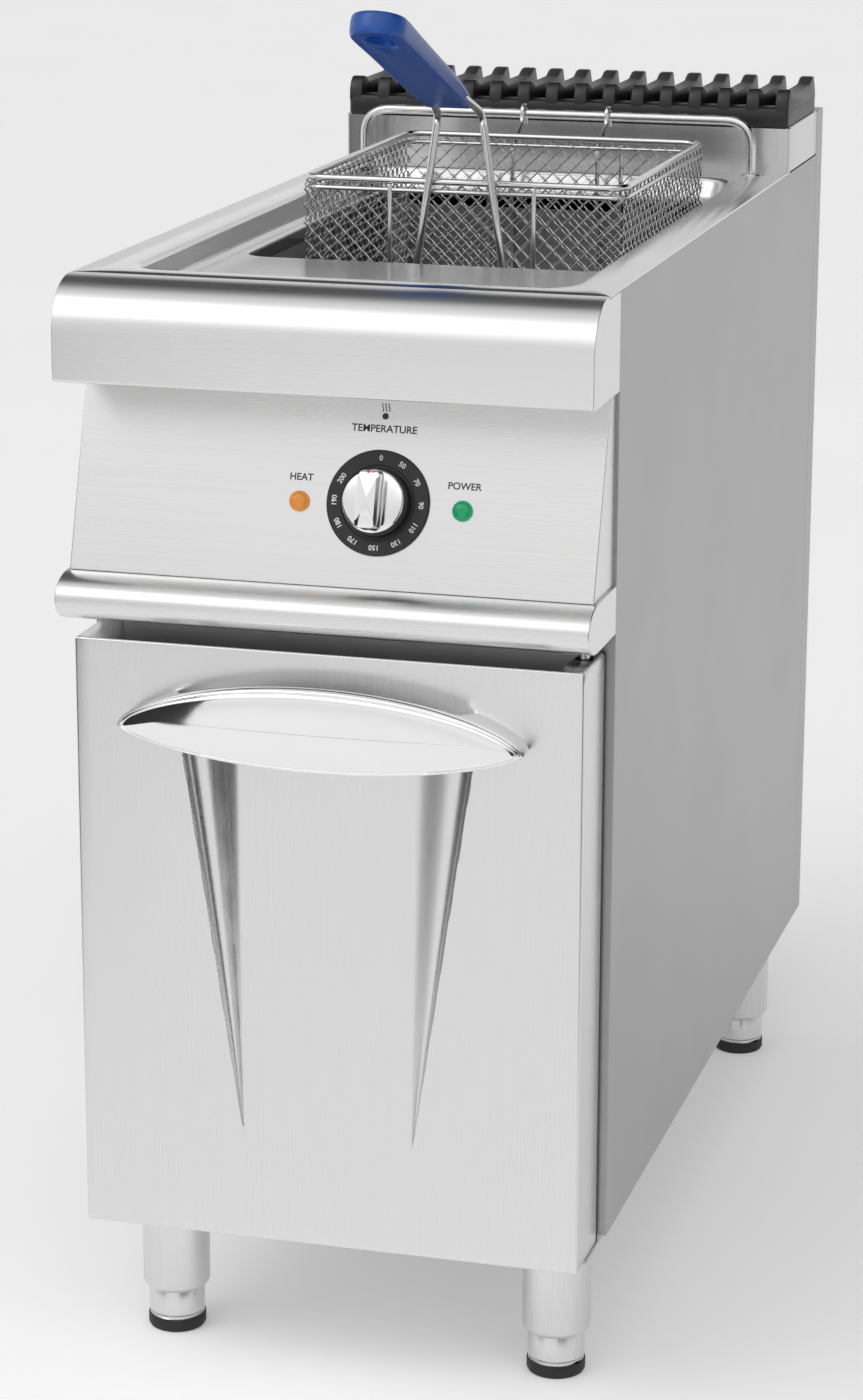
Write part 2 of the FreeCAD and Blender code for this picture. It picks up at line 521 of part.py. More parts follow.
def build_rear():
    """Flue backguard, its cast grate, the basket rail and the electrics."""
    top = "(worktop_height + flue_height)"
    outer = box("flue_outer", (f"-{HALF}", HALF), (at("flue_front"), REAR), ("worktop_height", top))
    inner = box("flue_inner", (f"-({HALF} - flue_wall)", f"{HALF} - flue_wall"),
                (at("flue_front + flue_wall"), f"{REAR} - flue_wall"), ("worktop_height - 1", f"{top} + 1"))
    keep(cut("flue", outer, [inner]), "backguard")

    base = f"({top} + gap / 4)"
    ridge_base = f"({base} + grate_band)"
    band = box("grate_block", ("-grate_half", "grate_half"), (at("flue_front - 1"), REAR), (base, ridge_base))
    room = box("grate_room", ("grate_rim - grate_half", "grate_half - grate_rim"),
               (at("flue_front + grate_front"), f"{REAR} - grate_back"),
               (f"{base} - 1", f"{ridge_base} - grate_web"))
    pitch = "((2 * grate_half - ridge_width) / (ridges - 1))"
    ridges, slots = [], []
    count = int(size("ridges"))
    for i in range(count):
        left = f"(-grate_half + {i} * {pitch})"
        outline = [(at("flue_front - 1"), ridge_base),
                   (at("flue_front + ridge_step"), f"{ridge_base} + grate_ridge - ridge_drop"),
                   (at("flue_front + ridge_run"), f"{ridge_base} + grate_ridge"),
                   (f"{REAR} - ridge_run", f"{ridge_base} + grate_ridge"),
                   (REAR, ridge_base)]
        ridge = profile(f"ridge_{i}", "YZ", outline, "ridge_width")
        ridges.append(place(ridge, f"{left} + ridge_width / 2", "0", "0"))
        if i:
            slots.append(box(f"slot_{i}", (f"{left} - {pitch} + ridge_width", left),
                             (at("flue_front + slot_front"), f"{REAR} - slot_back"),
                             (base, f"{ridge_base} + 1")))
    keep(cut("grate", fuse("grate_whole", [band] + ridges), [room] + slots), "flue_grate")

    level = "(worktop_height + rail_rise)"
    path = [("-rail_half", at("rail_depth"), DECK), ("-rail_half", at("rail_depth"), level),
            ("rail_half", at("rail_depth"), level), ("rail_half", at("rail_depth"), DECK)]
    keep(bent_wire("rail", path, "rail_radius", "rail_bend"), "basket_rail")
    discs = []
    for i, side in enumerate((-1, 1)):
        disc = rod(f"rail_disc_{i}", "rail_flange_radius", "rail_flange_height", f"{side} * rail_half",
                   at("rail_depth"), "worktop_height")
        way = rod(f"rail_way_{i}", "rail_radius", "rail_flange_height", f"{side} * rail_half",
                  at("rail_depth"), "worktop_height")
        discs.append(cut(f"rail_ring_{i}", disc, [way]))
    keep(fuse("rail_discs", discs), "rail_flanges")

    floor = "(base_height + plate)"
    keep(box("contactor_box", ("contactor_across", "contactor_across + contactor_width"),
             (at("gland_depth - contactor_depth"), at("gland_depth")),
             (floor, f"{floor} + contactor_height")), "contactor")
    keep(box("terminal_box", ("block_across", "block_across + block_width"),
             (at("gland_depth - 3 * block_depth"), at("gland_depth - 2 * block_depth")),
             (floor, f"{floor} + block_height")), "terminal_block")
    nut = rod("gland_nut", "gland_radius", "gland_length - plate", "gland_across", at("gland_depth"),
              "base_height - gland_length + plate")
    neck = rod("gland_neck", "gland_radius - plate", "4 * plate", "gland_across", at("gland_depth"),
               "base_height")
    bore = rod("gland_way", "gland_bore", "2 * gland_length", "gland_across", at("gland_depth"),
               "base_height - gland_length")
    keep(cut("gland", fuse("gland_whole", [nut, neck]), [bore]), "cable_gland")


def build_door():
    """Door on two pins: pressed skin with tapered flutes, liner, handle, catch and bushes."""
    outer = box("skin_outer", ("-door_half", "door_half"), (at("-door_face"), at("-door_back")),
                ("door_bottom", "door_top"))
    inner = box("skin_inner", ("-door_half + gauge", "door_half - gauge"),
                (at("-door_face + gauge"), at("1")),
                ("door_bottom + gauge", "door_top - gauge"))
    dishes, shells = [], []
    radius = size("(flute_half_width^2 + flute_depth^2) / (2 * flute_depth)")
    tip = Vector(size("flute_tip_half"), size(at("-door_face")), size("flute_tip"))
    head = Vector(size("flute_top_half"), size(at("-door_face + flute_depth")) - radius, size("flute_top"))
    for wall, group in ((0, dishes), (size("gauge"), shells)):
        cone = doc.addObject("Part::Cone", f"flute_right_{len(dishes)}")
        cone.Radius1 = size("flute_tip_radius") + wall
        cone.Radius2 = radius + wall
        cone.Height = (head - tip).Length
        cone.Placement = Placement(tip, Rotation(Vector(0, 0, 1), head - tip))
        twin = doc.addObject("Part::Mirroring", f"flute_left_{len(dishes)}")
        twin.Source = cone
        twin.Normal = Vector(1, 0, 0)
        group.extend([twin, cone])
    inside = box("skin_room", ("-door_half + gauge", "door_half - gauge"),
                 (at("-door_face + gauge / 2"), at("-door_back - 2 * flange")),
                 ("door_bottom + gauge", "door_top - gauge"))
    bulges = common("flute_bulges", [inside, fuse("flute_backs", shells)])
    hinge = (at("-hinge_depth"), "hinge_across")
    pin_ways = [rod(f"skin_way_{i}", "bush_radius", "4 * gauge", hinge[1], hinge[0], f"{level} - 2 * gauge")
                for i, level in enumerate(("door_bottom", "door_top"))]
    skin = fuse("skin_whole", [cut("skin_tray", outer, [inner]), bulges])
    for i, tool in enumerate(dishes + pin_ways):
        skin = cut(f"skin_step_{i}", skin, [tool])
    keep(skin, "door_skin")
    liner = box("liner_sheet", ("-door_half + gauge", "door_half - gauge"),
                (at("-door_back - liner_gap - gauge"), at("-door_back - liner_gap")),
                ("door_bottom + gauge", "door_top - gauge"))
    keep(liner, "door_liner")
    bushes = []
    for i, (low, level) in enumerate((("door_bottom", "door_bottom"),
                                      ("door_top - bush_length", "door_top"))):
        bush = rod(f"bush_{i}", "bush_radius", "bush_length", hinge[1], hinge[0], low)
        way = rod(f"bush_way_{i}", "pin_radius + slide_gap", "bush_length", hinge[1], hinge[0], low)
        bushes.append(cut(f"bush_ring_{i}", bush, [way]))
    keep(fuse("bushes", bushes), "hinge_bushes")

    arcs = []
    for i, (sagitta, side) in enumerate((("handle_rise", 1), ("handle_fall", -1))):
        radius = f"((handle_half^2 + {sagitta}^2) / (2 * {sagitta}))"
        arcs.append(rod(f"handle_arc_{i}", radius, "handle_proud", "0", at("-door_face"),
                        f"handle_level + {side} * ({sagitta} - {radius})", TO_FRONT))
    bow = "((handle_half^2 + handle_bow^2) / (2 * handle_bow))"
    front = rod("handle_bow_drum", bow, "handle_rise + handle_fall + 2 * handle_spare", "0",
                at(f"-door_face - handle_proud + {bow}"), "handle_level - handle_fall - handle_spare")
    lens = common("handle_lens", arcs + [front])
    ends = box("handle_ends", ("-handle_half + handle_tip_radius", "handle_half - handle_tip_radius"),
               (at("-door_face - handle_proud"), at("-door_face")),
               ("handle_level - handle_fall - 1", "handle_level + handle_rise + 1"))
    room = box("finger_room", ("-handle_grip_half", "handle_grip_half"),
               (at("-door_face - handle_gap"), at("-door_face + 1")),
               ("handle_level - handle_fall - 2", "handle_level + handle_rise + 2"))
    keep(cut("handle", common("handle_trim", [lens, ends]), [room]), "door_handle")
    screws = []
    for i, side in enumerate((-1, 1)):
        across = f"{side} * (handle_grip_half + handle_half) / 2"
        screws.append(rod(f"handle_screw_{i}", "screw_radius", "screw_length", across,
                          at("-door_face + gauge"), "handle_level", TO_Y))
    keep(fuse("handle_screw_pair", screws), "handle_screws")
    keep(box("catch_strip", ("catch_across", "catch_across + catch_width"),
             (at("-door_back - liner_gap"), at("-door_back + 1")),
             ("door_top - catch_drop", "door_top - catch_drop + catch_height")), "catch_plate")


def build_hinges():
    """Fixed hinge pieces: lower bracket with its twin stop tab, upper bracket, pins and catch."""
    hinge_y, wide = at("-hinge_depth"), "(bush_radius + bracket_rim)"
    low = box("lower_bracket", (f"hinge_across - {wide}", "door_half"),
              (at(f"-hinge_depth - {wide}"), at("gap")),
              ("base_height - bracket_drop", "base_height - bracket_drop + plate"))
    foot = box("lower_bracket_foot", (f"hinge_across - {wide} - bracket_drop", "door_half"),
               (at("gap"), at("flange + bracket_lap")),
               ("base_height - bracket_drop", "base_height"))
    tab = box("stop_tab", ("-door_half", f"-door_half + 2 * {wide}"),
              (at(f"-hinge_depth - {wide}"), at("gap")),
              ("base_height - bracket_drop", "base_height - bracket_drop + plate"))
    tab_foot = box("stop_tab_foot", ("-door_half", f"-door_half + 2 * {wide}"),
                   (at("gap"), at("flange + bracket_lap")),
                   ("base_height - bracket_drop", "base_height"))
    low_way = rod("lower_pin_way", "pin_radius", "plate", "hinge_across", hinge_y,
                  "base_height - bracket_drop")
    legs = [rod(f"bracket_leg_{i}", "leg_tube + gap", "2 * bracket_drop", f"{side} * foot_half",
                at("foot_front"), "base_height - 1.5 * bracket_drop")
            for i, side in enumerate((-1, 1))]
    keep(cut("lower_irons", fuse("lower_iron_whole", [low, foot, tab, tab_foot]), [low_way] + legs),
         "lower_brackets")
    up = box("upper_iron", (f"hinge_across - {wide}", "door_half"), (at(f"-hinge_depth - {wide}"), FRONT),
             ("roll_height - plate - pin_head", "roll_height - pin_head"))
    up_foot = box("upper_iron_foot", (f"hinge_across - {wide}", "door_half"),
                  (at(f"-hinge_depth - {wide}"), FRONT),
                  ("roll_height - pin_head", "roll_height"))
    up_way = rod("upper_pin_way", "pin_radius", "plate + pin_head", "hinge_across", hinge_y,
                 "roll_height - plate - pin_head")
    keep(cut("upper_bracket", fuse("upper_iron_whole", [up, up_foot]), [up_way]), "upper_hinge_bracket")
    pins = [rod("lower_pin", "pin_radius", "bracket_drop + bush_length", "hinge_across", hinge_y,
                "base_height - bracket_drop"),
            rod("upper_pin", "pin_radius", "roll_height - door_top + bush_length - 2", "hinge_across",
                hinge_y,
                "door_top - bush_length + 2")]
    keep(fuse("pins", pins), "hinge_pins")
    keep(box("catch_body", ("catch_across", "catch_across + catch_width"),
             (at("-door_back + 1 + gap"), FRONT),
             ("door_top - catch_drop", "door_top - catch_drop + catch_height")), "door_catch")


def build_basket():
    """Lift-out basket: mesh walls, rims, wires, rail hooks and the forked handle."""
    bottom = "(basket_top - basket_deep)"
    outer = pan("mesh_outer", "basket_half", (at("basket_front"), at("basket_rear")),
                (bottom, "basket_top - rim_radius"),
                "basket_corner", "basket_across")
    inner = pan("mesh_inner", "basket_half - basket_wall",
                (at("basket_front + basket_wall"), at("basket_rear - basket_wall")),
                (f"{bottom} + basket_wall", "basket_top + overcut"), "basket_corner - basket_wall",
                "basket_across")
    keep(cut("mesh", outer, [inner]), "basket_mesh")
    ring_half = "basket_half - basket_wall / 2"
    ring_y = (at("basket_front + basket_wall / 2"), at("basket_rear - basket_wall / 2"))
    keep(closed_ring("rim", ring_half, ring_y, "basket_top", "rim_radius", "basket_corner",
                     "basket_across"), "basket_rim")
    wires = []
    for i, (across, depth) in enumerate((("-stiffener_half", "basket_front - wire_radius"),
                                         ("stiffener_half", "basket_front - wire_radius"),
                                         ("-stiffener_half", "basket_rear + wire_radius"),
                                         ("stiffener_half", "basket_rear + wire_radius"))):
        wires.append(rod(f"stiffener_{i}", "wire_radius", "basket_deep - 2 * rim_radius",
                         f"basket_across + {across}", at(depth), bottom))
    keep(fuse("stiffeners", wires), "basket_stiffeners")
    hooks = []
    crown = "(worktop_height + rail_rise + rail_radius + hook_gap + wire_radius)"
    reach = "(rail_depth + rail_radius + hook_gap + wire_radius)"
    for i, side in enumerate((-1, 1)):
        across = f"basket_across + {side} * hook_half"
        near = at("rail_depth - rail_radius - hook_gap - wire_radius")
        path = [(across, at("basket_rear + wire_radius"), bottom),
                (across, at("basket_rear + wire_radius"), "worktop_height + rail_rise - hook_low"),
                (across, near, "worktop_height + rail_rise - hook_shoulder"), (across, near, crown),
                (across, at(reach), crown), (across, at(reach), "worktop_height + rail_rise - hook_tail")]
        hooks.append(bent_wire(f"hook_{i}", path, "wire_radius", "hook_bend"))
    keep(fuse("hook_pair", hooks), "basket_hooks")
    legs = []
    front = "(basket_front - rim_radius - leg_radius)"
    run = "sqrt(grip_reach^2 + grip_climb^2)"
    for i, side in enumerate((-1, 1)):
        path = [(f"basket_across + {side} * leg_low_half", at("basket_front"), "leg_low"),
                (f"basket_across + {side} * leg_low_half", at(front), "leg_low"),
                (f"basket_across + {side} * leg_top_half", at(front), "leg_bend"),
                (f"basket_across + {side} * leg_top_half * leg_squeeze",
                 at(f"{front} - grip_reach * 2 * leg_reach / {run}"),
                 f"leg_bend + grip_climb * 2 * leg_reach / {run}")]
        legs.append(bent_wire(f"fork_{i}", path, "leg_radius", "leg_curve"))
    keep(fuse("fork", legs), "handle_legs")
    turn = Rotation(Vector(1, 0, 0), -math.degrees(math.atan2(size("grip_climb"), size("grip_reach"))))
    outline = rectangle(("-grip_width / 2", "grip_width / 2"), ("-grip_length", "0"))
    grip = profile("grip_bar", "XY", outline, "grip_thick",
                   [((2, 3), "grip_corner"), ((0, 1), "grip_width / 2 - grip_spare")])
    hole = profile("grip_hole_bar", "XY",
                   rectangle(("-grip_width / 4", "grip_width / 4"),
                             ("grip_tip - grip_length", "grip_tip - grip_length + grip_hole")),
                   "3 * grip_thick", [((0, 1, 2, 3), "grip_width / 4 - grip_spare")])
    base_y = at(f"{front} - grip_reach * leg_reach / {run} - grip_thick / 2 * grip_climb / {run}")
    base_z = f"leg_bend + grip_climb * leg_reach / {run} - grip_thick / 2 * grip_reach / {run}"
    place(grip, "basket_across", base_y, base_z, turn)
    place(hole, "basket_across", f"{base_y} + grip_thick * grip_climb / {run} * -1",
          f"{base_z} - grip_thick * grip_reach / {run}", turn)
    sockets = fuse("fork_copy", [copy_of(leg, f"fork_way_{i}") for i, leg in enumerate(legs)])
    keep(cut("grip", grip, [hole, sockets]), "handle_grip")


def copy_of(item, name):
    """Second object with the same shape, so that a boolean can use it as a tool."""
    twin = doc.addObject("Part::Feature", name)
    twin.Shape = item.Shape
    twin.Placement = item.Placement
    return twin


def build_feet():
    """Four legs: a fixed tube under the base, a screw-out foot tube and its rubber cap."""
    corners = [("front_left", -1, "foot_front"), ("front_right", 1, "foot_front"),
               ("rear_left", -1, "foot_rear"), ("rear_right", 1, "foot_rear")]
    legs = []
    for name, side, depth in corners:
        spot = (f"{side} * foot_half", at(depth))
        outer = rod(f"leg_{name}", "leg_tube", "base_height - leg_start", *spot, "leg_start")
        bore = rod(f"leg_bore_{name}", "foot_tube + slide_gap", "base_height - leg_start - plate", *spot,
                   "leg_start")
        legs.append(cut(f"leg_hollow_{name}", outer, [bore]))
        tube = rod(f"foot_{name}", "foot_tube", "foot_top - cap_height + plate", *spot, "cap_height - plate")
        core = rod(f"foot_core_{name}", "foot_tube - plate", "foot_top", *spot, "cap_height + plate")
        keep(cut(f"foot_hollow_{name}", tube, [core]), f"foot_tube_{name}")
        cap = rod(f"cap_{name}", "cap_foot_radius", "cap_height", *spot, "0")
        seat = rod(f"cap_seat_{name}", "foot_tube", "cap_height", *spot, "cap_height - plate")
        keep(cut(f"cap_cup_{name}", cap, [seat]), f"foot_cap_{name}")
    keep(fuse("legs", legs), "leg_tubes")


for build in (build_cabinet, build_front, build_controls, build_worktop, build_tank, build_rear,
              build_door, build_hinges, build_basket, build_feet):
    build()
    doc.recompute()

for item in doc.Objects:
    if "Invalid" in item.State or "Error" in item.State:
        raise RuntimeError(f"{item.Name}: {item.State}")
for item in PARTS:
    if item.Shape.isNull() or not item.Shape.isValid():
        raise RuntimeError(f"{item.Label}: bad shape")

os.makedirs("parts", exist_ok=True)
for item in PARTS:
    item.Shape.exportStep(os.path.join("parts", f"{item.Label}.step"))
print(len(PARTS), "sub-parts written")
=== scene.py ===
"""Looks of a floor-standing electric deep fryer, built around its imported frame."""
import json
import logging
import math
from dataclasses import dataclass
from enum import Enum
from typing import Sequence

import bmesh
import bpy
import numpy as np
from mathutils import Euler, Matrix, Vector


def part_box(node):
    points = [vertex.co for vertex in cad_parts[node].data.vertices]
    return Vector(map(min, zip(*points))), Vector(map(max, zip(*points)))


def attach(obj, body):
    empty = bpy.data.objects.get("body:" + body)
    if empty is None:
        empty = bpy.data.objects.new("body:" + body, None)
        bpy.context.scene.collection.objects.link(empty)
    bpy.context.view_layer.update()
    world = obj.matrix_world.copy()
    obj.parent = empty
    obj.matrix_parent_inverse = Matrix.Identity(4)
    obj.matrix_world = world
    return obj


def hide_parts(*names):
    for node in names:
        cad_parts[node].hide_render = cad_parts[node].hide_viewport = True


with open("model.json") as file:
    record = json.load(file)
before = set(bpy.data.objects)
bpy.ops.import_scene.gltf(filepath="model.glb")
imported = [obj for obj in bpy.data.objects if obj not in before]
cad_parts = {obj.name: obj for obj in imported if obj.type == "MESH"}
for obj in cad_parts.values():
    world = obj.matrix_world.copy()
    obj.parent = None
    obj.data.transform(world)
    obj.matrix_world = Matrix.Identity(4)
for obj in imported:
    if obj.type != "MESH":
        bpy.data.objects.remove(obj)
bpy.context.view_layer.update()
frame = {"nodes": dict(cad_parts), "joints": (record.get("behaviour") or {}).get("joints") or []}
LOG = logging.getLogger("fryer")


# ---------------------------------------------------------------- meshes

def linked(name: str, data: bpy.types.ID) -> bpy.types.Object:
    """Put a mesh, curve, camera or light into the scene as an object at the origin.

    Args:
        name: Name of the object.
        data: What it holds.

    Returns:
        The new object.
    """
    item = bpy.data.objects.new(name, data)
    bpy.context.scene.collection.objects.link(item)
    return item


def shaded(name: str, mesh: bpy.types.Mesh, smooth: float) -> bpy.types.Object:
    """Shade a mesh smooth up to an angle and put it into the scene.

    Args:
        name: Name of the object.
        mesh: Its mesh.
        smooth: Angle in degrees under which an edge is shaded smooth.

    Returns:
        The new object.
    """
    mesh.shade_smooth()
    mesh.set_sharp_from_angle(angle=math.radians(smooth))
    return linked(name, mesh)


def add_piece(name: str, points: np.ndarray, faces: np.ndarray, smooth: float = 40.0) -> bpy.types.Object:
    """Make an object at the origin from points and faces.

    Args:
        name: Name of the object and its mesh.
        points: Array of (n, 3) places in metres.
        faces: Array of (m, 4) corners; a triangle repeats its last corner.
        smooth: Angle in degrees under which an edge is shaded smooth.

    Returns:
        The new object, with doubled points merged.
    """
    mesh = bpy.data.meshes.new(name)
    quads = faces[faces[:, 2] != faces[:, 3]]
    fans = faces[faces[:, 2] == faces[:, 3]][:, :3]
    mesh.from_pydata(points.reshape(-1, 3).tolist(), [], quads.tolist() + fans.tolist())
    work = bmesh.new()
    work.from_mesh(mesh)
    bmesh.ops.remove_doubles(work, verts=work.verts, dist=1e-6)
    bmesh.ops.dissolve_degenerate(work, edges=work.edges, dist=1e-7)
    bmesh.ops.recalc_face_normals(work, faces=work.faces)
    work.to_mesh(mesh)
    work.free()
    return shaded(name, mesh, smooth)


def lattice(rows: int, columns: int, wrap_rows: bool = False, wrap_columns: bool = False) -> np.ndarray:
    """Faces of a grid whose points are numbered row by row.

    Args:
        rows: Number of rows of points.
        columns: Number of points in a row.
        wrap_rows: Join the last row to the first.
        wrap_columns: Join the last column to the first.

    Returns:
        Array of (n, 4) corners.
    """
    r = np.arange(rows if wrap_rows else rows - 1)
    c = np.arange(columns if wrap_columns else columns - 1)
    r, c = np.meshgrid(r, c, indexing="ij")
    r1, c1 = (r + 1) % rows, (c + 1) % columns
    quads = np.stack([r * columns + c, r * columns + c1, r1 * columns + c1, r1 * columns + c], axis=-1)
    return quads.reshape(-1, 4)


def fan(start: int, count: int, hub: int) -> np.ndarray:
    """Triangles that close a ring of points round a hub.

    Args:
        start: Number of the ring's first point.
        count: Points in the ring.
        hub: Number of the hub point.

    Returns:
        Array of (count, 4) corners, the last one repeated.
    """
    ring = start + np.arange(count)
    hubs = np.full(count, hub)
    return np.stack([ring, start + (np.arange(count) + 1) % count, hubs, hubs], axis=-1)


def skin(name: str, rings: np.ndarray, closed: bool = False, capped: bool = True,
         smooth: float = 40.0) -> bpy.types.Object:
    """Surface through rings of points; each ring is closed on itself.

    Args:
        name: Name of the piece.
        rings: Array of (rings, points, 3).
        closed: Join the last ring to the first.
        capped: Close both end rings with a fan about their middle.
        smooth: Angle in degrees for smooth shading.

    Returns:
        The new object.
    """
    rows, columns = rings.shape[:2]
    points = rings.reshape(-1, 3)
    faces = [lattice(rows, columns, closed, True)]
    if capped and not closed:
        points = np.vstack([points, rings[0].mean(axis=0), rings[-1].mean(axis=0)])
        faces.append(fan(0, columns, rows * columns))
        faces.append(fan((rows - 1) * columns, columns, rows * columns + 1))
    return add_piece(name, points, np.vstack(faces), smooth)


def bevelled(item: bpy.types.Object, width: float, segments: int = 3,
             angle: float = 30.0) -> bpy.types.Object:
    """Round a piece's sharp edges with a Bevel modifier.

    Args:
        item: The piece.
        width: Width of the rounding in metres.
        segments: Steps across the rounding.
        angle: Edges sharper than this many degrees are rounded.

    Returns:
        The same piece.
    """
    bevel = item.modifiers.new("edge_round", "BEVEL")
    bevel.width = width
    bevel.segments = segments
    bevel.limit_method = "ANGLE"
    bevel.angle_limit = math.radians(angle)
    bevel.harden_normals = False
    item.data.shade_smooth()
    return item


def prism(name: str, outline: np.ndarray, axis: int, low: float, high: float,
          edge: float = 0.0006) -> bpy.types.Object:
    """Outline in the other two axes' plane, carried straight from low to high, ends closed.

    Args:
        name: Name of the piece.
        outline: Array of (n, 2) places, in the order of the two remaining axes.
        axis: 0, 1 or 2, the direction of travel.
        low: Start of the travel.
        high: End of the travel.
        edge: Rounding of sharp edges in metres, or 0.

    Returns:
        The new object.
    """
    count = len(outline)
    rest = [i for i in range(3) if i != axis]
    points = np.zeros((2, count, 3))
    points[:, :, rest] = outline
    points[0, :, axis], points[1, :, axis] = low, high
    mesh = bpy.data.meshes.new(name)
    ends = [list(range(count))[::-1], list(range(count, 2 * count))]
    mesh.from_pydata(points.reshape(-1, 3).tolist(), [], lattice(2, count, False, True).tolist() + ends)
    work = bmesh.new()
    work.from_mesh(mesh)
    bmesh.ops.recalc_face_normals(work, faces=work.faces)
    work.to_mesh(mesh)
    work.free()
    item = shaded(name, mesh, 30)
    return bevelled(item, edge) if edge else item


def merge(name: str, items: Sequence[bpy.types.Object]) -> bpy.types.Object:
    """Join pieces into one, their modifiers applied first.

    Args:
        name: Name of the joined piece.
        items: Pieces at the origin.

    Returns:
        The joined object.
    """
    graph = bpy.context.evaluated_depsgraph_get()
    points, faces, offset = [], [], 0
    for item in items:
        mesh = bpy.data.meshes.new_from_object(item.evaluated_get(graph))
        place = np.zeros(len(mesh.vertices) * 3)
        mesh.vertices.foreach_get("co", place)
        points.append(place.reshape(-1, 3))
        corners = np.zeros(len(mesh.loops), dtype=np.int32)
        mesh.loops.foreach_get("vertex_index", corners)
        starts = np.zeros(len(mesh.polygons), dtype=np.int32)
        mesh.polygons.foreach_get("loop_start", starts)
        faces += [face.tolist() for face in np.split(corners + offset, starts[1:])]
        offset += len(mesh.vertices)
        bpy.data.objects.remove(item)
    mesh = bpy.data.meshes.new(name)
    mesh.from_pydata(np.vstack(points).tolist(), [], faces)
    return shaded(name, mesh, 35)


def arc(centre: tuple[float, float], radius: float, start: float, end: float, steps: int = 8) -> np.ndarray:
    """Points on a circle from one angle to another, in degrees.

    Args:
        centre: Centre of the circle.
        radius: Its radius.
        start: First angle.
        end: Last angle.
        steps: Number of steps.

    Returns:
        Array of (steps + 1, 2).
    """
    turn = np.radians(np.linspace(start, end, steps + 1))
    return np.stack([centre[0] + radius * np.cos(turn), centre[1] + radius * np.sin(turn)], axis=-1)


def rounded_ring(x: tuple[float, float], y: tuple[float, float], radius: float, z: float,
                 corner: int = 10, side: int = 8) -> np.ndarray:
    """Level rounded rectangle: four arcs joined by straight sides with evenly spaced points.

    Args:
        x: Low and high edge along X.
        y: Low and high edge along Y.
        radius: Corner radius.
        z: Level of the ring.
        corner: Steps in each corner.
        side: Steps along each side.

    Returns:
        Array of (4 * (corner + side), 3), the same order for every size.
    """
    radius = max(radius, 1e-5)
    centres = [(x[1] - radius, y[1] - radius, 0), (x[0] + radius, y[1] - radius, 90),
               (x[0] + radius, y[0] + radius, 180), (x[1] - radius, y[0] + radius, 270)]
    arcs = [arc((cx, cy), radius, turn, turn + 90, corner) for cx, cy, turn in centres]
    parts = []
    for i, bend in enumerate(arcs):
        share = np.linspace(0, 1, side + 1)[1:-1, None]
        parts += [bend, bend[-1] * (1 - share) + arcs[(i + 1) % 4][0] * share]
    flat = np.vstack(parts)
    return np.column_stack([flat, np.full(len(flat), z)])


def filleted(corners: Sequence[Sequence[float]], bend: float, steps: int = 6) -> np.ndarray:
    """Path through corners with each inner corner replaced by a quadratic curve.

    Each curve starts and ends the bend length away from its corner: point = (1-t)^2 a +
    2t(1-t) corner + t^2 b.

    Args:
        corners: Places in metres.
        bend: Length taken from each run.
        steps: Steps in each curve.

    Returns:
        Array of (n, 3).
    """
    corners = np.asarray(corners, dtype=float)
    t = np.linspace(0, 1, steps + 1)[:, None]
    path = [corners[:1]]
    for before, corner, after in zip(corners, corners[1:], corners[2:]):
        back, ahead = before - corner, after - corner
        a = corner + back / np.linalg.norm(back) * min(bend, np.linalg.norm(back) / 2)
        b = corner + ahead / np.linalg.norm(ahead) * min(bend, np.linalg.norm(ahead) / 2)
        path.append((1 - t) ** 2 * a + 2 * t * (1 - t) * corner + t ** 2 * b)
    path.append(corners[-1:])
    return np.vstack(path)


def tubes(name: str, paths: np.ndarray, radius: float, up: Sequence[float], sides: int = 10,
          closed: bool = False, capped: bool = True) -> bpy.types.Object:
    """Round wires along one or many paths of equal point counts.

    Ring point = path + radius * (cos a * side + sin a * lift), where side is square to the
    path's direction and to the given up direction, and lift is square to both.

    Args:
        name: Name of the piece.
        paths: Array of (n, 3) or (wires, n, 3).
        radius: Wire radius.
        up: Direction that no path runs along.
        sides: Sides of the wire.
        closed: Whether each path ends where it starts.
        capped: Close the ends.

    Returns:
        The new object, holding all wires.
    """
    paths = paths[None] if paths.ndim == 2 else paths
    if closed:
        along = np.roll(paths, -1, axis=1) - np.roll(paths, 1, axis=1)
    else:
        along = np.gradient(paths, axis=1)
    along /= np.linalg.norm(along, axis=-1, keepdims=True)
    side = np.cross(along, np.asarray(up, dtype=float))
    side /= np.linalg.norm(side, axis=-1, keepdims=True)
    lift = np.cross(side, along)
    turn = np.linspace(0, 2 * math.pi, sides, endpoint=False)
    rings = (paths[:, :, None] + radius * (np.cos(turn)[:, None] * side[:, :, None]
                                            + np.sin(turn)[:, None] * lift[:, :, None]))
    wires, rows = rings.shape[:2]
    face = lattice(rows, sides, closed, True)
    faces = [(face[None] + np.arange(wires)[:, None, None] * rows * sides).reshape(-1, 4)]
    points = rings.reshape(-1, 3)
    if capped and not closed:
        hubs = np.concatenate([paths[:, 0], paths[:, -1]])
        count = len(points)
        points = np.vstack([points, hubs])
        for wire in range(wires):
            faces.append(fan(wire * rows * sides, sides, count + wire))
            faces.append(fan(((wire + 1) * rows - 1) * sides, sides, count + wires + wire))
    return add_piece(name, points, np.vstack(faces), 60)


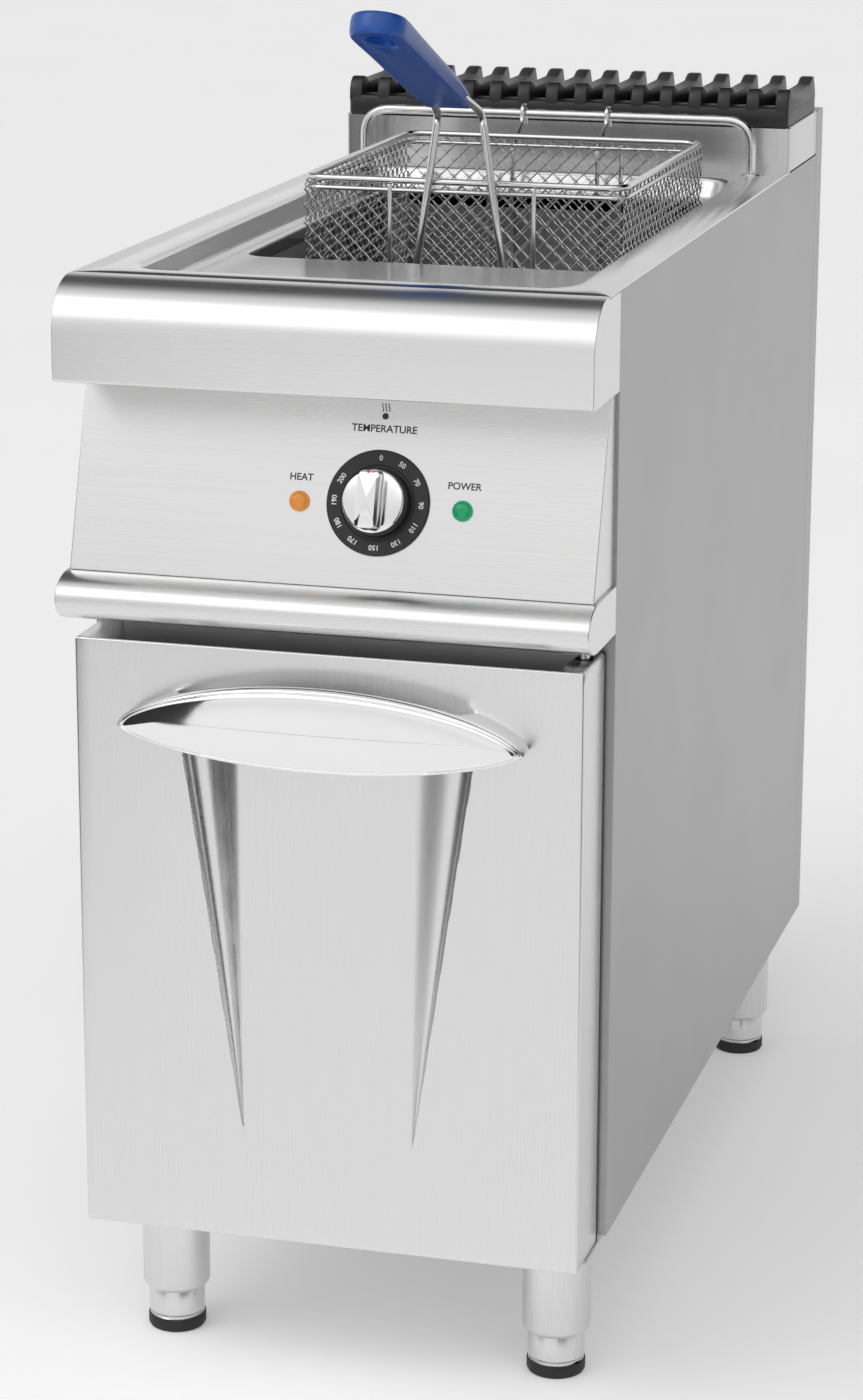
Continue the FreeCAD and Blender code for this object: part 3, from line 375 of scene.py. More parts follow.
def turned(name: str, profile: Sequence[tuple[float, float]], centre: Sequence[float],
           frame_of: Matrix | None = None, sides: int = 64, smooth: float = 30.0) -> bpy.types.Object:
    """Profile of (radius, height) turned about an upright axis, ends closed at the axis.

    Args:
        name: Name of the piece.
        profile: Radii and heights from one end to the other.
        centre: Foot of the axis.
        frame_of: Turn applied about the foot, or None.
        sides: Steps round the axis.
        smooth: Angle in degrees for smooth shading.

    Returns:
        The new object.
    """
    profile = np.asarray(profile, dtype=float)
    turn = np.linspace(0, 2 * math.pi, sides, endpoint=False)
    rings = np.stack([profile[:, 0, None] * np.cos(turn), profile[:, 0, None] * np.sin(turn),
                      np.repeat(profile[:, 1, None], sides, axis=1)], axis=-1)
    if frame_of is not None:
        rings = rings @ np.array(frame_of.to_3x3()).T
    return skin(name, rings + np.asarray(centre), smooth=smooth)


# ---------------------------------------------------------------- finishes

class Shader:
    """A material's node tree with short ways to add and join nodes."""

    def __init__(self, name: str) -> None:
        """Start a material with one Principled shader.

        Args:
            name: Material name.
        """
        self.material = bpy.data.materials.new(name)
        self.material.use_nodes = True
        self.nodes = self.material.node_tree.nodes
        self.links = self.material.node_tree.links
        self.principled = self.nodes["Principled BSDF"]
        self.place = self.add("ShaderNodeTexCoord").outputs["Object"]

    def add(self, kind: str, **settings: object) -> bpy.types.Node:
        """Add a node.

        Args:
            kind: The node's type.
            settings: Names of its attributes or, with a leading in_, of its inputs.

        Returns:
            The new node.
        """
        node = self.nodes.new(kind)
        for key, value in settings.items():
            if key.startswith("in_"):
                node.inputs[key[3:].replace("_", " ")].default_value = value
            else:
                setattr(node, key, value)
        return node

    def set(self, **sockets: object) -> None:
        """Set uniform values on the Principled shader's own sockets."""
        for key, value in sockets.items():
            self.principled.inputs[key.replace("_", " ")].default_value = value

    def noise(self, scale: Sequence[float], detail: float = 3.0) -> bpy.types.NodeSocket:
        """Noise on object coordinates, stretched by a scale for each axis.

        Args:
            scale: Cycles per metre along each axis.
            detail: Octaves.

        Returns:
            The noise value's socket.
        """
        mapping = self.add("ShaderNodeMapping")
        mapping.inputs["Scale"].default_value = scale
        self.links.new(self.place, mapping.inputs["Vector"])
        node = self.add("ShaderNodeTexNoise", in_Scale=1.0, in_Detail=detail, in_Roughness=0.6)
        self.links.new(mapping.outputs["Vector"], node.inputs["Vector"])
        return node.outputs["Fac"]

    def spread(self, value: bpy.types.NodeSocket, low: float, high: float) -> bpy.types.NodeSocket:
        """Map the middle of a 0 to 1 value on to a range.

        Args:
            value: Socket to map.
            low: Result at 0.3.
            high: Result at 0.7.

        Returns:
            The mapped socket.
        """
        node = self.add("ShaderNodeMapRange", in_From_Min=0.3, in_From_Max=0.7, in_To_Min=low, in_To_Max=high)
        self.links.new(value, node.inputs["Value"])
        return node.outputs["Result"]

    def bump(self, value: bpy.types.NodeSocket, strength: float, distance: float) -> None:
        """Raise the surface by a value.

        Args:
            value: Height's socket, 0 to 1.
            strength: Share of the effect.
            distance: Height in metres.
        """
        node = self.add("ShaderNodeBump", in_Strength=strength, in_Distance=distance)
        self.links.new(value, node.inputs["Height"])
        self.links.new(node.outputs["Normal"], self.principled.inputs["Normal"])

    def tint(self, value: bpy.types.NodeSocket, low: Sequence[float], high: Sequence[float]) -> None:
        """Colour the surface between two colours by a value.

        Args:
            value: Socket to colour by.
            low: Colour up to 0.3.
            high: Colour from 0.7.
        """
        ramp = self.add("ShaderNodeValToRGB")
        for stop, position, colour in zip(ramp.color_ramp.elements, (0.3, 0.7), (low, high)):
            stop.position = position
            stop.color = (*colour, 1)
        self.links.new(value, ramp.inputs["Fac"])
        self.links.new(ramp.outputs["Color"], self.principled.inputs["Base Color"])


class Grain(Enum):
    """Direction in which a steel sheet was brushed, as noise cycles per metre."""

    ACROSS = (3.0, 1600.0, 2200.0)
    UPRIGHT = (2000.0, 1800.0, 3.0)
    ALONG = (1800.0, 3.0, 2000.0)
    NONE = (240.0, 240.0, 240.0)


@dataclass(frozen=True)
class Steel:
    """Stainless sheet, rod or tube with brushing lines and faint smudges."""

    name: str
    tone: float = 0.80
    rough: float = 0.30
    grain: Grain = Grain.ACROSS
    scratch: float = 0.10

    def material(self) -> bpy.types.Material:
        """Build the material: fine stretched noise in tone, roughness and bump.

        Returns:
            The new material.
        """
        shader = Shader(self.name)
        shader.set(Metallic=1.0)
        lines = shader.noise(self.grain.value, 4)
        smudge = shader.noise((7, 7, 7), 3)
        tone = self.tone
        shader.tint(lines, (tone * 0.955, tone * 0.955, tone * 0.95), (tone, tone, tone * 0.998))
        mix = shader.add("ShaderNodeMath", operation="ADD")
        shader.links.new(shader.spread(lines, self.rough - 0.03, self.rough + 0.03), mix.inputs[0])
        shader.links.new(shader.spread(smudge, -0.02, 0.02), mix.inputs[1])
        shader.links.new(mix.outputs[0], shader.principled.inputs["Roughness"])
        shader.bump(lines, self.scratch, 0.00004)
        return shader.material


@dataclass(frozen=True)
class Chrome:
    """Polished plating with a trace of orange peel."""

    name: str
    tone: float = 0.9
    rough: float = 0.06

    def material(self) -> bpy.types.Material:
        """Build the material: near-mirror metal with slow ripples.

        Returns:
            The new material.
        """
        shader = Shader(self.name)
        shader.set(Metallic=1.0)
        ripple = shader.noise((60, 60, 60), 2)
        shader.tint(ripple, (self.tone * 0.98,) * 3, (self.tone,) * 3)
        gloss = shader.spread(ripple, self.rough, self.rough + 0.03)
        shader.links.new(gloss, shader.principled.inputs["Roughness"])
        shader.bump(ripple, 0.04, 0.0002)
        return shader.material


@dataclass(frozen=True)
class Moulded:
    """Plastic, rubber, enamel, brass or ceramic with a fine surface grain."""

    name: str
    colour: tuple[float, float, float]
    rough: float = 0.4
    grain: float = 900.0
    bumps: float = 0.15
    metal: float = 0.0
    glow: float = 0.0

    def material(self) -> bpy.types.Material:
        """Build the material: colour from slow patches, roughness and bump from a fine speckle.

        Returns:
            The new material.
        """
        shader = Shader(self.name)
        shader.set(Metallic=self.metal)
        speckle = shader.noise((self.grain,) * 3, 3)
        patches = shader.noise((25, 25, 25), 2)
        low = tuple(channel * 0.86 for channel in self.colour)
        shader.tint(patches, low, self.colour)
        gloss = shader.spread(speckle, self.rough - 0.05, self.rough + 0.06)
        shader.links.new(gloss, shader.principled.inputs["Roughness"])
        shader.bump(speckle, self.bumps, 0.0001)
        if self.glow:
            shader.set(Emission_Color=(*self.colour, 1), Emission_Strength=self.glow)
        return shader.material


@dataclass(frozen=True)
class Finishes:
    """Every finish of the fryer, made once."""

    front: Steel = Steel("front_steel", 0.79, 0.29, Grain.ACROSS, 0.04)
    # Side sheets and rear cover: the same stainless as the front, its tone lowered to 0.44 as painted shade
    # for the sides that face away from the light.
    side: Steel = Steel("side_steel_painted_shade", 0.44, 0.38, Grain.UPRIGHT, 0.10)
    deck: Steel = Steel("deck_steel", 0.80, 0.20, Grain.ALONG, 0.06)
    door: Steel = Steel("door_steel", 0.77, 0.29, Grain.UPRIGHT, 0.05)
    flue: Steel = Steel("flue_steel", 0.66, 0.24, Grain.UPRIGHT, 0.10)
    inner: Steel = Steel("inner_steel", 0.42, 0.34, Grain.NONE, 0.12)
    leg: Steel = Steel("leg_steel", 0.74, 0.26, Grain.UPRIGHT, 0.10)
    wire: Steel = Steel("wire_steel", 0.74, 0.20, Grain.NONE, 0.05)
    mesh: Steel = Steel("mesh_steel", 0.62, 0.28, Grain.NONE, 0.10)
    element: Steel = Steel("element_steel", 0.26, 0.45, Grain.NONE, 0.30)
    fastener: Steel = Steel("fastener_steel", 0.66, 0.30, Grain.NONE, 0.10)
    chrome: Chrome = Chrome("chrome")
    iron: Moulded = Moulded("cast_iron", (0.012, 0.012, 0.013), 0.38, 700, 0.5)
    grip: Moulded = Moulded("grip_blue", (0.008, 0.075, 0.36), 0.32, 1400, 0.12)
    dial: Moulded = Moulded("dial_black", (0.012, 0.012, 0.013), 0.42, 1800, 0.10)
    rubber: Moulded = Moulded("foot_rubber", (0.016, 0.016, 0.016), 0.62, 1200, 0.4)
    black: Moulded = Moulded("moulded_black", (0.03, 0.03, 0.032), 0.5, 1100, 0.3)
    ceramic: Moulded = Moulded("ceramic_white", (0.8, 0.78, 0.73), 0.25, 500, 0.1)
    sleeve: Moulded = Moulded("sleeve_red", (0.5, 0.02, 0.02), 0.5, 900, 0.2)
    brass: Moulded = Moulded("valve_brass", (0.68, 0.50, 0.22), 0.3, 500, 0.2, 1.0)
    print_black: Moulded = Moulded("print_black", (0.03, 0.03, 0.03), 0.5, 900, 0.05)
    print_white: Moulded = Moulded("print_white", (0.82, 0.82, 0.82), 0.5, 900, 0.05)
    mark_red: Moulded = Moulded("mark_red", (0.75, 0.03, 0.02), 0.4, 900, 0.05)
    amber: Moulded = Moulded("lens_amber", (0.60, 0.22, 0.03), 0.16, 500, 0.3, 0.0, 0.25)
    green: Moulded = Moulded("lens_green", (0.0, 0.26, 0.10), 0.16, 500, 0.3, 0.0, 0.35)


FINISHES = Finishes()
MADE: dict[str, bpy.types.Material] = {}


def paint(item: bpy.types.Object, finish: Steel | Chrome | Moulded) -> bpy.types.Object:
    """Give a piece one finish, making its material the first time.

    Args:
        item: New piece or CAD node.
        finish: The finish.

    Returns:
        The same object.
    """
    if finish.name not in MADE:
        MADE[finish.name] = finish.material()
    if not item.material_slots:
        item.data.materials.append(None)
    for slot in item.material_slots:
        slot.material = MADE[finish.name]
    return item


def fit(item: bpy.types.Object, body: str, finish: Steel | Chrome | Moulded,
        stands_for: Sequence[str] = ()) -> bpy.types.Object:
    """Paint a new piece, hang it on its body and say which nodes it stands for.

    Args:
        item: The new piece.
        body: Body that it moves with.
        finish: Its finish.
        stands_for: CAD nodes that it replaces.

    Returns:
        The same piece.
    """
    paint(item, finish)
    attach(item, body)
    if stands_for:
        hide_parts(*stands_for)
    LOG.info("made %s on %s", item.name, body)
    return item


def span(node: str) -> tuple[np.ndarray, np.ndarray]:
    """Lowest and highest corner of a CAD node, as arrays."""
    low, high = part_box(node)
    return np.array(low), np.array(high)


# ---------------------------------------------------------------- cabinet

@dataclass
class Casing:
    """Side panels, rear cover and backguard of the cabinet."""

    gauge: float = 0.0015
    flange: float = 0.020
    flue_wall: float = 0.004
    flue_round: float = 0.001

    def build(self) -> None:
        """Make the side sheets with their turned front edge, the rear cover and the flue box."""
        # The side sheets and rear cover take the darker side finish, whose lower tone is painted shade.
        for side, node in ((-1, "left_side_panel"), (1, "right_side_panel")):
            low, high = span(node)
            wall = high[0] if side > 0 else low[0]
            lip = wall - side * self.flange
            inner = wall - side * self.gauge
            fold = low[1] + self.gauge
            outline = np.array([(wall, low[1]), (wall, high[1]), (inner, high[1]), (inner, fold),
                                (lip, fold), (lip, low[1])])
            panel = prism(f"{node}_sheet", outline, 2, low[2], high[2], 0.0005)
            fit(panel, "cabinet", FINISHES.side, [node])
        paint(frame["nodes"]["rear_panel"], FINISHES.side)
        self.build_backguard()

    def build_backguard(self) -> None:
        """Make the flue box as four upright sheets folded at the corners."""
        low, high = span("backguard")
        wall, ease, top = self.flue_wall, self.flue_round, high[2]
        steps = ((0, low[2]), (0, top - ease), (ease, top), (wall - ease, top), (wall, top - ease),
                 (wall, low[2]))
        rings = [rounded_ring((low[0] + o, high[0] - o), (low[1] + o, high[1] - o), 0.002, z, 4, 4)
                 for o, z in steps]
        fit(skin("backguard_sheet", np.array(rings), closed=True), "cabinet", FINISHES.flue,
            ["backguard"])


@dataclass
class Front:
    """Rounded apron, slanted control panel and roll."""

    nose: float = 0.038
    foot: float = 0.003
    seam: float = 0.0006
    gauge: float = 0.002
    roll_reach: float = 0.034
    roll_fullness: float = 0.8

    def build(self) -> None:
        """Make the three bent sheets below the worktop."""
        low, high = span("front_apron")
        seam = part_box("worktop")[0][1] - self.seam
        under = high[2] - self.gauge
        outline = [(high[1], low[2]), (low[1] + self.foot, low[2])]
        outline += arc((low[1] + self.foot, low[2] + self.foot), self.foot, 270, 180, 4)[1:].tolist()
        outline += arc((low[1] + self.nose, high[2] - self.nose), self.nose, 180, 90, 20).tolist()
        outline += [(seam, high[2]), (seam, under), (high[1], under)]
        fit(prism("apron_sheet", np.array(outline), 0, low[0], high[0], 0.0006), "cabinet", FINISHES.front,
            ["front_apron"])
        self.build_panel()
        self.build_roll()

    def build_panel(self) -> None:
        """Make the slanted fascia: top edge near the apron, foot on the roll."""
        low, high = span("control_panel")
        head = low[1] + PanelFrame.run
        outline = np.array([(high[1], low[2]), (low[1], low[2]), (head, high[2]), (high[1], high[2])])
        fit(prism("control_fascia", outline, 0, low[0], high[0], 0.0008), "cabinet", FINISHES.front,
            ["control_panel"])

    def build_roll(self) -> None:
        """Make the half-round roll, a flattened half circle from top sheet to underside.

        Depth = reach * |cos a| ** fullness and height = half * sin a, for a from 90 to 270 degrees.
        """
        low, high = span("fascia_roll")
        reach, half = self.roll_reach, (high[2] - low[2]) / 2
        turn = np.radians(np.linspace(90, 270, 33))
        depth = reach * np.sign(np.cos(turn)) * np.abs(np.cos(turn)) ** self.roll_fullness
        nose = np.stack([low[1] + reach + depth, (low[2] + high[2]) / 2 + half * np.sin(turn)], axis=-1)
        outline = np.vstack([[(high[1], high[2])], nose, [(high[1], low[2])]])
        fit(prism("roll_sheet", outline, 0, low[0], high[0], 0.0008), "cabinet", FINISHES.front,
            ["fascia_roll"])


@dataclass
class PanelFrame:
    """Place and lean of the slanted panel, read from the dial's joint."""

    run: float = 0.045

    def __post_init__(self) -> None:
        """Find the dial's centre on the panel and the panel's outward direction."""
        joint = [j for j in frame["joints"] if j["name"] == "knob_turn"][0]
        self.centre = Vector(joint["pos_m"])
        self.out = -Vector(joint["axis"]).normalized()
        self.up = self.out.cross(Vector((1, 0, 0))).normalized()
        self.turn = Matrix((Vector((1, 0, 0)), self.up, self.out)).transposed()

    def at(self, across: float, up: float, out: float) -> Vector:
        """Point on the panel, measured from the dial's centre."""
        return self.centre + Vector((across, 0, 0)) + self.up * up + self.out * out


@dataclass
class Worktop:
    """Pressed deck: flat rim, smooth lip, sunken floor and the rolled tank opening."""

    lip: float = 0.006
    root: float = 0.007
    slope: float = 0.004
    fall: float = 0.019
    gauge: float = 0.0012
    corner: float = 0.0005
    ease: float = 0.0004
    skirt: float = 0.0015
    tuck: float = 0.004
    recess_x: tuple[float, float] = (-0.163, 0.163)
    recess_y: tuple[float, float] = (-0.368, 0.241)
    recess_corner: float = 0.028
    tank_wall: float = 0.0015
    tank_corner: float = 0.022
    tank_roll: float = 0.003
    tank_drop: float = 0.012

    def ring(self, x: Sequence[float], y: Sequence[float], radius: float, z: float,
             grow: float = 0.0) -> np.ndarray:
        """Level rounded rectangle grown by a length on every side.

        Args:
            x: Low and high edge along X.
            y: Low and high edge along Y.
            radius: Corner radius before growing.
            z: Level.
            grow: Length to grow by.

        Returns:
            Array of points, the same count for every ring of the deck.
        """
        return rounded_ring((x[0] - grow, x[1] + grow), (y[0] - grow, y[1] + grow), radius + grow, z, 12, 14)

    def build(self) -> None:
        """Make the deck as rings: outer edge, lip arc, wall, root arc, floor and tank edge."""
        low, high = span("worktop")
        tank_low, tank_high = span("oil_tank")
        top, floor = high[2], high[2] - self.fall
        tank_x = (tank_low[0] + self.tank_wall, tank_high[0] - self.tank_wall)
        tank_y = (tank_low[1] + self.tank_wall, tank_high[1] - self.tank_wall)
        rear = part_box("backguard")[0][1] + self.tuck
        edge_x, edge_y = (low[0], high[0]), (low[1], rear)
        eased_x, eased_y = (low[0] + self.ease, high[0] - self.ease), (low[1] + self.ease, rear)
        rings = [self.ring(edge_x, edge_y, self.corner, top - self.skirt),
                 self.ring(edge_x, edge_y, self.corner, top - self.ease),
                 self.ring(eased_x, eased_y, self.corner, top)]
        turn = np.radians(np.linspace(0, 80, 9))
        for angle in turn:
            rings.append(self.ring(self.recess_x, self.recess_y, self.recess_corner,
                                   top - self.lip * (1 - math.cos(angle)), self.lip * (1 - math.sin(angle))))
        for angle in turn[::-1]:
            rings.append(self.ring(self.recess_x, self.recess_y, self.recess_corner,
                                   floor + self.root * (1 - math.cos(angle)),
                                   -self.slope - self.root * (1 - math.sin(angle))))
        for angle in np.radians(np.linspace(0, 90, 6)):
            rings.append(self.ring(tank_x, tank_y, self.tank_corner,
                                   floor - self.tank_roll * (1 - math.cos(angle)),
                                   self.tank_roll * (1 - math.sin(angle))))
        rings.append(self.ring(tank_x, tank_y, self.tank_corner, floor - self.tank_drop))
        sheet = skin("worktop_sheet", np.array(rings), capped=False, smooth=50)
        wall = sheet.modifiers.new("gauge", "SOLIDIFY")
        wall.thickness = self.gauge
        wall.offset = -1
        fit(sheet, "cabinet", FINISHES.deck, ["worktop"])


# ---------------------------------------------------------------- controls

@dataclass
class Controls:
    """Dial, knob, lamps and their printed words on the slanted panel."""

    dial: float = 0.0385
    cap: float = 0.023
    skirt: float = 0.025
    lamp: float = 0.0075
    heat: float = -0.059
    power: float = 0.063
    lamp_up: float = -0.002
    legend_rise: float = 0.0175
    legend: float = 0.0052
    title: float = 0.0054
    title_up: float = 0.0535
    number: float = 0.0038
    number_inset: float = 0.0062
    sign_up: float = 0.064
    ink: float = 0.0001
    number_ink: float = 0.0022
    blade_half: float = 0.0085
    blade_pinch: float = 0.0022
    blade_reach: float = 0.0218
    blade_foot: float = 0.0145
    blade_height: float = 0.0178

    def build(self) -> None:
        """Make every piece on the panel."""
        self.panel = PanelFrame()
        self.build_dial()
        self.build_knob()
        self.build_lamps()
        self.build_words()

    def disc(self, name: str, profile: Sequence[tuple[float, float]], across: float = 0.0,
             up: float = 0.0) -> bpy.types.Object:
        """Turn a profile about the panel's outward direction at a place on the panel.

        Args:
            name: Piece name.
            profile: Radii and heights over the panel.
            across: Place to the right of the dial's centre.
            up: Place above the dial's centre.

        Returns:
            The new piece.
        """
        return turned(name, profile, self.panel.at(across, up, 0), self.panel.turn)

    def build_dial(self) -> None:
        """Make the black dial: flat face with a chamfered edge and a low inner step."""
        r = self.dial
        profile = [(0, 0.0001), (r, 0.0001), (r, 0.0012), (r - 0.0008, 0.002), (r - 0.011, 0.0021),
                   (r - 0.0115, 0.0017), (0.004, 0.0017), (0.0034, 0.0017), (0.0, 0.0017)]
        fit(self.disc("dial_face", profile), "cabinet", FINISHES.dial, ["dial_plate"])

    def build_knob(self) -> None:
        """Make the skirt, the domed chrome cap and the tall blade with its red mark."""
        s, c = self.skirt, self.cap
        profile = [(0, 0.0025), (s - 0.001, 0.0025), (s, 0.0035), (s - 0.0005, 0.0095),
                   (s - 0.0015, 0.0104), (0, 0.0104)]
        fit(self.disc("knob_collar", profile), "knob", FINISHES.dial, ["knob_skirt"])
        rim = [(c - 0.002 + 0.002 * math.cos(a), 0.0144 + 0.002 * math.sin(a))
               for a in np.radians([0, 22, 45, 67, 90])]
        profile = [(0, 0.0105), (c, 0.0105)] + rim + [(c - 0.006, 0.0168), (0.008, 0.0172), (0, 0.0172)]
        cap = self.disc("cap_disc", profile)
        blade = self.blade()
        fit(merge("knob_chrome", [cap, blade]), "knob", FINISHES.chrome, ["knob_cap"])
        stripe = np.array([(-0.0009, 0.0135), (0.0009, 0.0135), (0.0009, 0.0208), (-0.0009, 0.0208)])
        mark = prism("knob_mark", stripe, 2, 0.0316, 0.0321, 0)
        self.stand(mark)
        fit(mark, "knob", FINISHES.mark_red)

    def blade(self) -> bpy.types.Object:
        """Make the grip blade: a long rounded bar with concave flanks and a crowned top.

        Half width at height h, from 0 to 1, is base - pinch * sin(pi * h / 0.8). Over h = 0.8 both
        the width and the length draw in along a quarter circle.

        Returns:
            The blade, on the panel.
        """
        rings = []
        for level in np.linspace(0, 1, 14):
            crown = max(0.0, (level - 0.8) / 0.2)
            draw = 1 - math.sqrt(max(0.0, 1 - crown ** 2))
            pinch = self.blade_pinch * math.sin(math.pi * min(level / 0.8, 1.0))
            half = self.blade_half - pinch - self.blade_pinch * draw
            reach = self.blade_reach - 0.0012 * level - 0.0025 * draw
            rings.append(rounded_ring((-half, half), (-reach, reach), half * 0.55,
                                      self.blade_foot + self.blade_height * level, 6, 4))
        return self.stand(skin("cap_blade", np.array(rings), smooth=50))

    def stand(self, item: bpy.types.Object, across: float = 0.0, up: float = 0.0) -> bpy.types.Object:
        """Carry a piece made flat at the origin on to the panel, in its mesh.

        Args:
            item: The piece.
            across: Place to the right of the dial's centre.
            up: Place above the dial's centre.

        Returns:
            The same piece.
        """
        place = Matrix.Translation(self.panel.at(across, up, 0)) @ self.panel.turn.to_4x4()
        item.data.transform(place)
        return item

    def build_lamps(self) -> None:
        """Make two domed lenses with moulded steps."""
        for name, across, finish, slot in (("heat", self.heat, FINISHES.amber, "heat_lens"),
                                           ("power", self.power, FINISHES.green, "power_lens")):
            r = self.lamp
            profile = [(0, 0.0001), (r, 0.0001), (r, 0.0014), (r - 0.0005, 0.002), (r - 0.0014, 0.002),
                       (r - 0.0018, 0.0027), (r - 0.0030, 0.0036), (r - 0.005, 0.0039), (0, 0.004)]
            lens = self.disc(f"{name}_lens_dome", profile, across, self.lamp_up)
            fit(lens, "cabinet", finish, [f"{name}_lamp_lens"])

    def word(self, name: str, text: str, height: float, across: float, up: float, out: float,
             finish: Moulded, turn: float = 0.0) -> None:
        """Print a short generic word or number on the panel or dial.

        Args:
            name: Piece name.
            text: What is printed.
            height: Letter height in metres.
            across: Place to the right of the dial's centre.
            up: Place above the dial's centre.
            out: Height over the panel.
            finish: Ink.
            turn: Turn in degrees, counter-clockwise.
        """
        curve = bpy.data.curves.new(name, "FONT")
        curve.body = text
        curve.size = height * 1.38
        curve.align_x = "CENTER"
        curve.align_y = "CENTER"
        curve.extrude = 0.00006
        curve.offset = height * 0.022
        holder = linked(name, curve)
        bpy.context.view_layer.update()
        mesh = bpy.data.meshes.new_from_object(holder.evaluated_get(bpy.context.evaluated_depsgraph_get()))
        bpy.data.objects.remove(holder)
        item = linked(name, mesh)
        item.data.transform(Matrix.Translation((0, 0, out)) @ Matrix.Rotation(math.radians(turn), 4, "Z"))
        self.stand(item, across, up)
        fit(item, "cabinet", finish)

    def build_words(self) -> None:
        """Print the legends over the lamps and dial, the flame sign and the dial's numbers."""
        over = self.lamp_up + self.legend_rise
        black, white = FINISHES.print_black, FINISHES.print_white
        self.word("word_heat", "HEAT", self.legend, self.heat, over, self.ink, black)
        self.word("word_power", "POWER", self.legend, self.power, over, self.ink, black)
        self.word("word_temperature", "TEMPERATURE", self.title, 0.0, self.title_up, self.ink, black)
        reach = self.dial - self.number_inset
        for i, number in enumerate(("0", "50", "70", "90", "110", "130", "150", "170", "180", "190", "200")):
            turn = 90 - i * 30
            self.word(f"dial_number_{i}", number, self.number, reach * math.cos(math.radians(turn)),
                      reach * math.sin(math.radians(turn)), self.number_ink, white, turn - 90)
        self.build_sign()

    def build_sign(self) -> None:
        """Print the heat sign: three wavy lines x = a sin(2 pi t) over a small disc."""
        t = np.linspace(0, 1, 17)
        waves = [np.column_stack([(i - 1) * 0.0024 + 0.0006 * np.sin(t * 2 * math.pi), 0.0022 + 0.006 * t,
                                  np.full(17, 0.0001)]) for i in range(3)]
        sign = tubes("sign_waves", np.array(waves), 0.00035, (0, 0, 1), 4)
        bowl = turned("sign_bowl", [(0.0, 0.0), (0.0024, 0.0), (0.0024, 0.0002), (0, 0.0002)],
                      (0, -0.0012, 0), sides=24)
        mark = merge("heat_sign", [sign, bowl])
        self.stand(mark, 0.0, self.sign_up)
        fit(mark, "cabinet", FINISHES.print_black)


# ---------------------------------------------------------------- door

